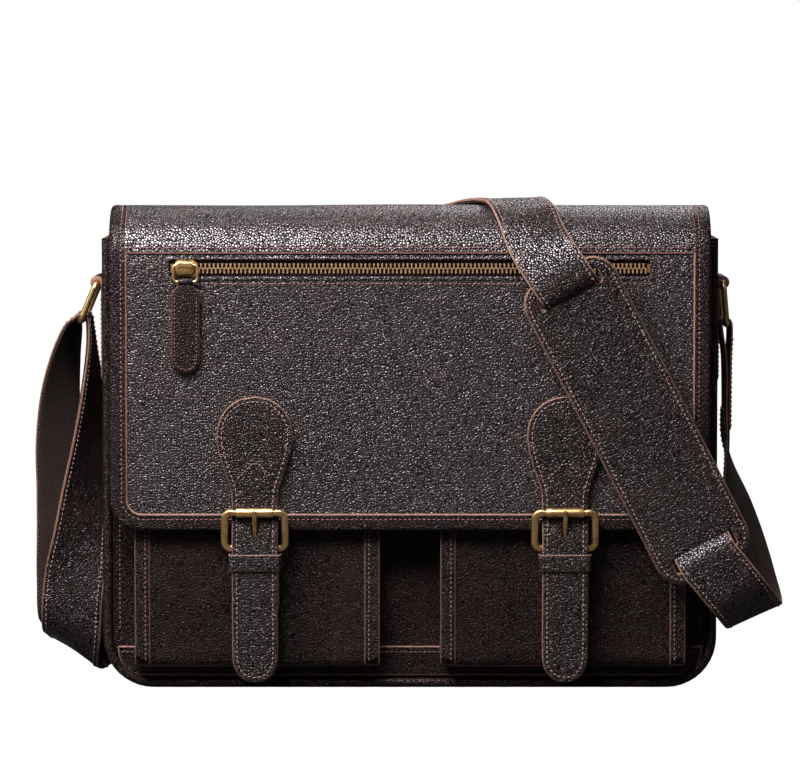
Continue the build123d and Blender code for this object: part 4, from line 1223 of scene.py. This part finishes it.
# All station tables below: x, y, z and the direction of the strap's width.
# From behind the bag over the crown, across the front and under to the right side.
FRONT_LINE = StrapLine([
    (-22, 47.3, 225, 0.76, 0, -0.65),
    (-6, 44.3, 243.5, 0.77, 0, -0.64),
    (6, 42.8, 257, 0.78, 0.0, -0.62),
    (18, 42.6, 270, 0.81, 0.05, -0.58),
    (*on_crown(29.5, 38, 3.4), 0.86, 0.43, -0.28),
    (*DRAPE_START, 0.86, 0.45, -0.19),
    (*on_crown(51.5, 2, 3.4), 0.85, 0.5, -0.12),
    (*on_crown(60.5, -14, 3.5), 0.84, 0.54, -0.05),
    (*on_bend(64.5, 3, 4.0), 0.83, 0.55, 0.03),
    (*on_bend(68, 20, 4.6), 0.82, 0.53, 0.19),
    (*on_bend(72.3, 42, 5.6), 0.82, 0.42, 0.38),
    (*on_bend(76.3, 62, 6.2), 0.825, 0.26, 0.50),
    (80.6, -66.6, 276, 0.83, 0.13, 0.54),
    (85.4, -71.4, 268.5, 0.835, 0.04, 0.55),
    (90.4, -74.6, 261.2, 0.84, 0, 0.54),
    (94.0, -75.6, 255.8, 0.855, 0, 0.52),
    (97.07, -75.0, 251.39, 0.87, 0, 0.49),
    (99.22, -72.6, 248.19, 0.885, 0, 0.47),
    (100.6, -69.0, 245.52, 0.887, 0, 0.462),
    (102.39, -66.6, 242.05, 0.889, 0, 0.459),
    (105.83, -65.6, 235.39, 0.889, 0, 0.459),
    (122, -65.4, 204, 0.889, 0, 0.459),
    (139.8, -65.4, 169.6, 0.889, 0, 0.459),
    (158, -65.2, 134.5, 0.889, 0, 0.459),
    (174.68, -65.3, 102.04, 0.889, 0, 0.459),
    (177.67, -66.2, 96.26, 0.885, 0, 0.465),
    (179.27, -68.6, 93.15, 0.88, 0, 0.475),
    (180.74, -72.2, 90.3, 0.87, 0, 0.49),
    (182.49, -74.6, 86.92, 0.85, 0, 0.52),
    (185.38, -75.6, 82.48, 0.83, 0, 0.55),
    (*DRAPE_END, 0.8, 0, 0.6),
    (201.5, -73.6, 63, 0.82, 0, 0.57),
    (209.5, -65, 52.8, 0.86, 0, 0.51),
    (214, -50, 47.5, 0.91, 0, 0.41),
    (214.5, -34, 51, 0.94, 0.1, 0.32),
    (214, -22.5, 64, 0.91, 0.38, 0.15),
    (211.0, -14, 88, 0.76, 0.65, 0),
    (206.5, -7, 114, 0.5, 0.866, 0),
    (202.0, -2, 137, 0.15, 0.99, 0),
    (199.6, 0, 154, 0, 1, 0),
    (199.2, 0, 172, 0, 1, 0),
], per=7)


def plied_strap(name, leather_name, line, start, end, half_width, heights, mats, bevel,
                web_inset, seam_ends, cup=0.0, step=3.0, lift=0.28):
    """Leather on webbing with stitched edges. heights: bottom, joint and top.
    seam_ends is how far the stitches stay off the start and the end."""
    bottom, joint, top = heights
    face = strap(leather_name, line, start, end, half_width, joint, top, mats, bevel=bevel,
                 cup=cup, step=step)
    web = strap(name + "_webbing", line, start, end, half_width - web_inset, bottom, joint,
                WEB_PLY, bevel=0.3, cup=cup, step=step)
    seams = Seams(name + "_stitches", THREAD)
    seams.edges(line, start + seam_ends[0], end - seam_ends[1], height=top + 0.08, lift=lift)
    stitches = seams.done()
    return face, web, stitches


def front_piece(name, start, end, half_width):
    return plied_strap(name, name, FRONT_LINE, start, end, half_width, (-1.5, -0.4, 1.5),
                       STRAP_PLY, bevel=0.85, web_inset=0.8, seam_ends=(1, 1), cup=0.25,
                       lift=0.24)


def build_front_strap():
    """Three lengths; each of the last two starts just before the one above it ends."""
    lap = 0.2
    start = FRONT_LINE.run_at((12, 42.7, 263.5))
    top = FRONT_LINE.run_at(DRAPE_START)
    low = FRONT_LINE.run_at(DRAPE_END)
    for obj in front_piece("strap_over_hinge", start, top, STRAP_HALF - 0.06):
        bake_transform(obj)
    draped = front_piece("strap_draped", top - lap, low, STRAP_HALF)
    for obj in draped:
        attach(obj, "flap")
    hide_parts("strap_front")
    for obj in front_piece("strap_loop_right", low - lap, FRONT_LINE.length, STRAP_HALF - 0.04):
        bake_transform(obj)


PAD_CENTRE = np.array((139.8, -69.9, 169.6))
PAD_ALONG = np.array((0.459, 0.009, -0.889))
PAD_ALONG /= np.linalg.norm(PAD_ALONG)
PAD_ACROSS = np.array((0.889, 0.0, 0.459))
PAD_NORMAL = np.cross(PAD_ALONG, PAD_ACROSS)
PAD_NORMAL /= np.linalg.norm(PAD_NORMAL)
PAD_HALF_LENGTH, PAD_THICKNESS = 105, 4.6


def pad_space(across, along, out):
    ripple = (0.5 * np.sin(along / 27.0 + 0.6) * np.sin(across / 21.0 + 0.8)
              + 0.25 * np.sin(along / 11.0 + across / 17.0))
    fade = np.clip((PAD_HALF_LENGTH - np.abs(along)) / 20, 0, 1)
    out = out - PAD_THICKNESS / 2 + ripple * fade * 0.6
    return (PAD_CENTRE + across[:, None] * PAD_ACROSS + along[:, None] * PAD_ALONG
            + out[:, None] * PAD_NORMAL)


def build_shoulder_pad():
    """A pad with a slot near each end."""
    outline = rrect(-31, 31, -PAD_HALF_LENGTH, PAD_HALF_LENGTH, 17, step=5, count=9)
    slots = [rrect(-20.6, 20.6, low, high, 1.6, step=4)
             for low, high in ((-96.0, -87.2), (87.2, 96.0))]
    pad = slab("shoulder_pad_leather", outline, pad_space, PAD_THICKNESS, STRAP_PLY, bevel=0.95,
               holes=slots, grid=5, groove=3.2)
    mount(pad, "flap", "shoulder_pad")
    seams = Seams("shoulder_pad_stitches", THREAD)
    seams.run(inset(outline, 3.2), pad_space, height=4.35, closed=True, pitch=3.05)
    mount(seams.done(), "flap")


def build_right_end():
    """The sewn end that turns round the right ring."""
    x, z = ring_point(5)
    course = [
        (201.0, 160), (201.1, 180), (201.3, 205), (201.9, 219), (x + 3.2, z + 0.6),
        (x + 1.6, z + 2.9), (x - 1.0, z + 3.0), (x - 2.9, z + 0.9), (196.3, 219),
        (198.4, 205), (199.0, 180), (199.0, 170)]
    line = StrapLine([(x, 0, z, 0, -1, 0) for x, z in course], per=7)
    end = strap("strap_end_right_leather", line, 0, line.length, STRAP_HALF, -0.75, 0.75,
                STRAP_PLY, bevel=0.5, step=1.6)
    seams = Seams("strap_end_right_stitches", THREAD)
    seams.edges(line, 1, 58, height=0.8)
    for run in (56.0, 20.0):
        seams.run([(-15, run), (15, run)], line.to_space, height=0.8)
    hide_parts("strap_end_right")
    for obj in (end, seams.done()):
        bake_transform(obj)


def build_left_strap():
    """Up to the left ring, through it and back down outside."""
    x, z = ring_point(23)
    x = -x
    line = StrapLine([
        (-207.5, 22, 16.5, 0.80, 0, -0.60),
        (-211.0, 12, 17.2, 0.81, 0, -0.59),
        (-213.5, 2, 19.8, 0.84, 0, -0.54),
        (-213.8, -9, 28, 0.9, 0, -0.42),
        (-213.5, -15.5, 43, 0.98, 0, -0.2),
        (-211.8, -17, 62, 1, 0.05, 0),
        (-208.5, -14, 90, 0.85, 0.53, 0),
        (-205.2, -9, 120, 0.7, 0.71, 0),
        (-202, -5, 150, 0.52, 0.85, 0),
        (-200.2, -2, 182, 0.3, 0.95, 0),
        (-200.8, 0, 208, 0.08, 1, 0),
        (x + 4.6, 0, z - 4, 0, 1, 0),
        (x + 3.7, 0, z + 2.0, 0, 1, 0),
        (x, 0, z + 4.0, 0, 1, 0),
        (x - 3.9, 0, z + 1.6, 0, 1, 0),
        (x - 6.4, 0, z - 5, 0.22, 0.97, 0),
        (-217.6, 0, 204, 0.42, 0.9, 0),
        (-221.0, 1, 180, 0.58, 0.81, 0),
        (-222.0, 2, 150, 0.70, 0.71, 0),
        (-220.5, 3, 120, 0.78, 0.63, 0),
        (-218.5, 1, 90, 0.9, 0.43, 0),
        (-217.5, -1, 62, 0.99, 0.1, 0),
        (-217.5, -1, 46, 0.97, 0, -0.25),
        (-216.5, 3.5, 33.5, 0.9, 0, -0.42),
        (-213.5, 15, 29, 0.82, 0, -0.57),
    ], per=7)
    line.normals = -line.normals        # puts the leather on the strap's other side
    pieces = plied_strap("strap_left", "strap_left_leather", line, 2, line.length - 1,
                         STRAP_HALF, (-1.3, -0.2, 1.3), [STRAP_LEATHER, EDGE, WEBBING],
                         bevel=0.8, web_inset=0.7, seam_ends=(2, 2), step=2.4)
    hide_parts("strap_left")
    for obj in pieces:
        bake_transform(obj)


def build_back_strap():
    """Up across the back of the bag, with the webbing's tail in front of it."""
    line = StrapLine([
        (-207.5, 14, 17, 0.8, 0, -0.6), (-207, 30, 17, 0.79, 0, -0.61),
        (-200.5, 45.5, 20, 0.79, 0, -0.61), (-192.5, 52.5, 28, 0.78, 0, -0.63),
        (-180, 54.5, 42, 0.77, 0, -0.64), (-160, 54.5, 65, 0.76, 0, -0.65),
        (-110, 54, 123, 0.76, 0, -0.65), (-60, 49, 181, 0.76, 0, -0.65),
        (-20, 45.2, 228, 0.76, 0, -0.65), (6, 42.9, 257, 0.78, 0.0, -0.62),
        (13.5, 42.7, 265, 0.8, 0.03, -0.6),
    ], per=8)
    tail_line = StrapLine([
        (-213.5, 15, 29, 0.82, 0, -0.57), (-212, 28, 28, 0.8, 0, -0.6),
        (-208.5, 38.5, 29, 0.79, 0, -0.61), (-201.5, 46, 32, 0.79, 0, -0.61),
        (-190, 48.8, 42, 0.78, 0, -0.63), (-174, 49.6, 58, 0.77, 0, -0.64),
        (-150, 49.6, 84, 0.76, 0, -0.65), (-104, 48.6, 137, 0.76, 0, -0.65),
    ], per=8)
    pieces = plied_strap("strap_behind", "strap_behind_leather", line, 0, line.length,
                         STRAP_HALF, (-1.4, -0.2, 1.5), STRAP_PLY, bevel=0.8, web_inset=0.7,
                         seam_ends=(1, 2), cup=0.15)
    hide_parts("strap_back")
    for obj in pieces:
        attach(obj, "bag")
    tail = strap("strap_tail_webbing", tail_line, 0, tail_line.length, 18.6, -0.9, 0.9, WEB_PLY,
                 bevel=0.4)
    mount(tail, "bag", "strap_webbing_tail", slot="webbing")


build_front_strap()
build_shoulder_pad()
build_right_end()
build_left_strap()
build_back_strap()

for seams, body in ((body_seams, "bag"), (side_seams, "bag"), (flap_seams, "flap"),
                    (billet_seams, "flap")):
    mount(seams.done(), body)

# ---------------------------------------------------------------- buckles
ROLLER_Y, ROLLER_Z = -64.95, 112.2
# Sleeve with softened rims: x from the buckle's middle, radius.
ROLLER_PROFILE = [
    (-11.7, 1.6), (-11.7, 2.45), (-11.5, 2.78), (-11.1, 2.95), (-8.0, 2.98), (-4.0, 2.93),
    (0.0, 2.96), (4.0, 2.93), (8.0, 2.98), (11.1, 2.95), (11.5, 2.78), (11.7, 2.45), (11.7, 1.6)]


def build_buckle_frame(centre, tag):
    """A bar bent to a rectangle, flattened at the sides and slimmer along heel and roller."""
    sides, flat_half, slim_half, half_thickness = 16, 2.35, 1.72, 1.78
    height = math.hypot(ROLLER_Z - HEEL_Z, ROLLER_Y - HEEL_Y)
    lean_y, lean_z = (ROLLER_Y - HEEL_Y) / height, (ROLLER_Z - HEEL_Z) / height
    path = rrect(-18.7, 18.7, 0, height, 4.2, step=2.2, count=8)
    tangent = unit(np.roll(path, -1, 0) - np.roll(path, 1, 0))
    slim = np.clip((13.6 - np.abs(path[:, 0])) / 1.6, 0, 1)
    halves = flat_half * (1 - slim) + slim_half * slim
    verts = []
    for point, along, half in zip(path, tangent, halves):
        for angle in np.linspace(0, 2 * np.pi, sides, endpoint=False):
            wide, thick = rounded_square(angle, 2.6)
            x = point[0] + along[1] * half * wide
            up = point[1] - along[0] * half * wide
            out = half_thickness * thick
            verts.append((centre + x, HEEL_Y + lean_y * up - lean_z * out,
                          HEEL_Z + lean_z * up + lean_y * out))
    buckle = make_mesh("buckle_frame_%s_bar" % tag, verts,
                       ring_faces(len(path), sides, wrap=True), [BRASS_LOCAL], sharp=0)
    mount(buckle, "flap", "buckle_frame_" + tag, slot="antique_brass")


def build_roller(centre, tag):
    sides, rings = 32, len(ROLLER_PROFILE)
    verts = [(centre + x, ROLLER_Y - 0.1 + radius * math.cos(a), ROLLER_Z + radius * math.sin(a))
             for x, radius in ROLLER_PROFILE
             for a in np.linspace(0, 2 * np.pi, sides, endpoint=False)]
    roller = make_mesh("buckle_roller_%s_sleeve" % tag, verts,
                       ring_faces(rings, sides) + end_caps(rings, sides), [BRASS_LOCAL],
                       sharp=0.6)
    mount(roller, "roller_" + tag, "buckle_roller_" + tag, slot="antique_brass")


for side, tag in SIDES:
    build_buckle_frame(side * BILLET_X, tag)
    build_roller(side * BILLET_X, tag)

# Metal pieces that keep their CAD shape.
CAD_METAL = ("snap_socket", "snap_stud", "snap_back", "ring_left", "ring_right", "zip_slider",
             "zip_pull_ring", "zipper_stops", "buckle_prong", "strap_adjuster")
for name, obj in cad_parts.items():
    if name.startswith(CAD_METAL):
        obj.data.materials.clear()
        obj.data.materials.append(BRASS)


# ---------------------------------------------------------------- stage (metres)
def stage_object(name, data):
    obj = bpy.data.objects.new(name, data)
    bpy.context.scene.collection.objects.link(obj)
    return obj


def aim(obj, target):
    obj.rotation_euler = (Vector(target) - obj.location).to_track_quat("-Z", "Y").to_euler()


def floor_paper():
    """Nearly pure white to the camera, dark grey to every other ray."""
    material, tree, shader = new_material("floor_paper")
    set_inputs(tree, shader, {"Base Color": (0.05, 0.05, 0.05, 1), "Roughness": 0.9})
    rays = add_node(tree, "ShaderNodeLightPath")
    glow = add_node(tree, "ShaderNodeEmission", {"Color": (1, 1, 1, 1), "Strength": 1.05})
    share = add_node(tree, "ShaderNodeMath", {0: rays.outputs["Is Camera Ray"], 1: 0.975},
                     operation="MULTIPLY")
    mix = add_node(tree, "ShaderNodeMixShader", {
        0: share.outputs[0], 1: shader.outputs[0], 2: glow.outputs[0]})
    set_inputs(tree, tree.nodes["Material Output"], {0: mix.outputs[0]})
    return material


def build_floor():
    half, z = 6.0, -0.0006
    material = floor_paper()
    mesh = bpy.data.meshes.new("floor")
    mesh.from_pydata([(-half, -half, z), (half, -half, z), (half, half, z), (-half, half, z)],
                     [], [(0, 1, 2, 3)])
    mesh.materials.append(material)
    stage_object("floor", mesh)


def build_world():
    """White to the camera, almost no light on the bag."""
    world = bpy.data.worlds.new("studio")
    bpy.context.scene.world = world
    world.use_nodes = True
    tree = world.node_tree
    rays = add_node(tree, "ShaderNodeLightPath")
    # Sockets 2 and 3 are the strengths for other rays and for camera rays.
    strength = add_node(tree, "ShaderNodeMix", {
        0: rays.outputs["Is Camera Ray"], 2: 0.010, 3: 1.0})
    set_inputs(tree, tree.nodes["Background"], {0: (1, 1, 1, 1), 1: strength.outputs[0]})


def light(name, location, target, size, power, color=(1, 1, 1)):
    data = bpy.data.lights.new(name, "AREA")
    data.shape = "RECTANGLE"
    data.size, data.size_y = size
    data.energy = power
    data.color = color
    obj = stage_object(name, data)
    obj.location = location
    aim(obj, target)


def build_camera():
    distance_m, field_width, sensor = 2.6, 0.496, 36.0
    elevation = math.radians(4.0)
    target = Vector((-0.0062, -0.05, 0.1919))
    data = bpy.data.cameras.new("camera")
    data.lens = sensor * distance_m / field_width
    data.sensor_width = sensor
    data.clip_end = 50
    obj = stage_object("camera", data)
    obj.location = target + Vector((0, -math.cos(elevation), math.sin(elevation))) * distance_m
    aim(obj, target)
    bpy.context.scene.camera = obj


build_floor()
build_world()
light("top_box", location=(-0.36, -0.55, 0.88), target=(-0.03, -0.06, 0.24), size=(0.55, 0.30),
      power=27, color=(1.0, 0.91, 0.94))
light("front_box", location=(-0.7, -2.0, 1.5), target=(0, -0.05, 0.2), size=(1.2, 0.7),
      power=1.0, color=(1.0, 0.93, 0.93))
light("band_strip", location=(-0.20, -0.50, 0.98), target=(-0.03, -0.06, 0.29),
      size=(0.95, 0.14), power=11, color=(1.0, 0.93, 0.96))
light("back_box", location=(0.5, 1.5, 1.5), target=(0, 0, 0.15), size=(1.2, 0.8), power=20,
      color=(1.0, 0.94, 0.94))
light("left_strip", location=(-1.3, -0.5, 0.75), target=(0, -0.05, 0.2), size=(0.4, 0.9), power=5)
light("right_strip", location=(1.4, -0.4, 0.8), target=(0.1, 0, 0.15), size=(0.4, 0.8), power=2)
build_camera()
try:
    bpy.context.scene.view_settings.view_transform = "Standard"
except TypeError:
    pass        # guards a color configuration that has no Standard view
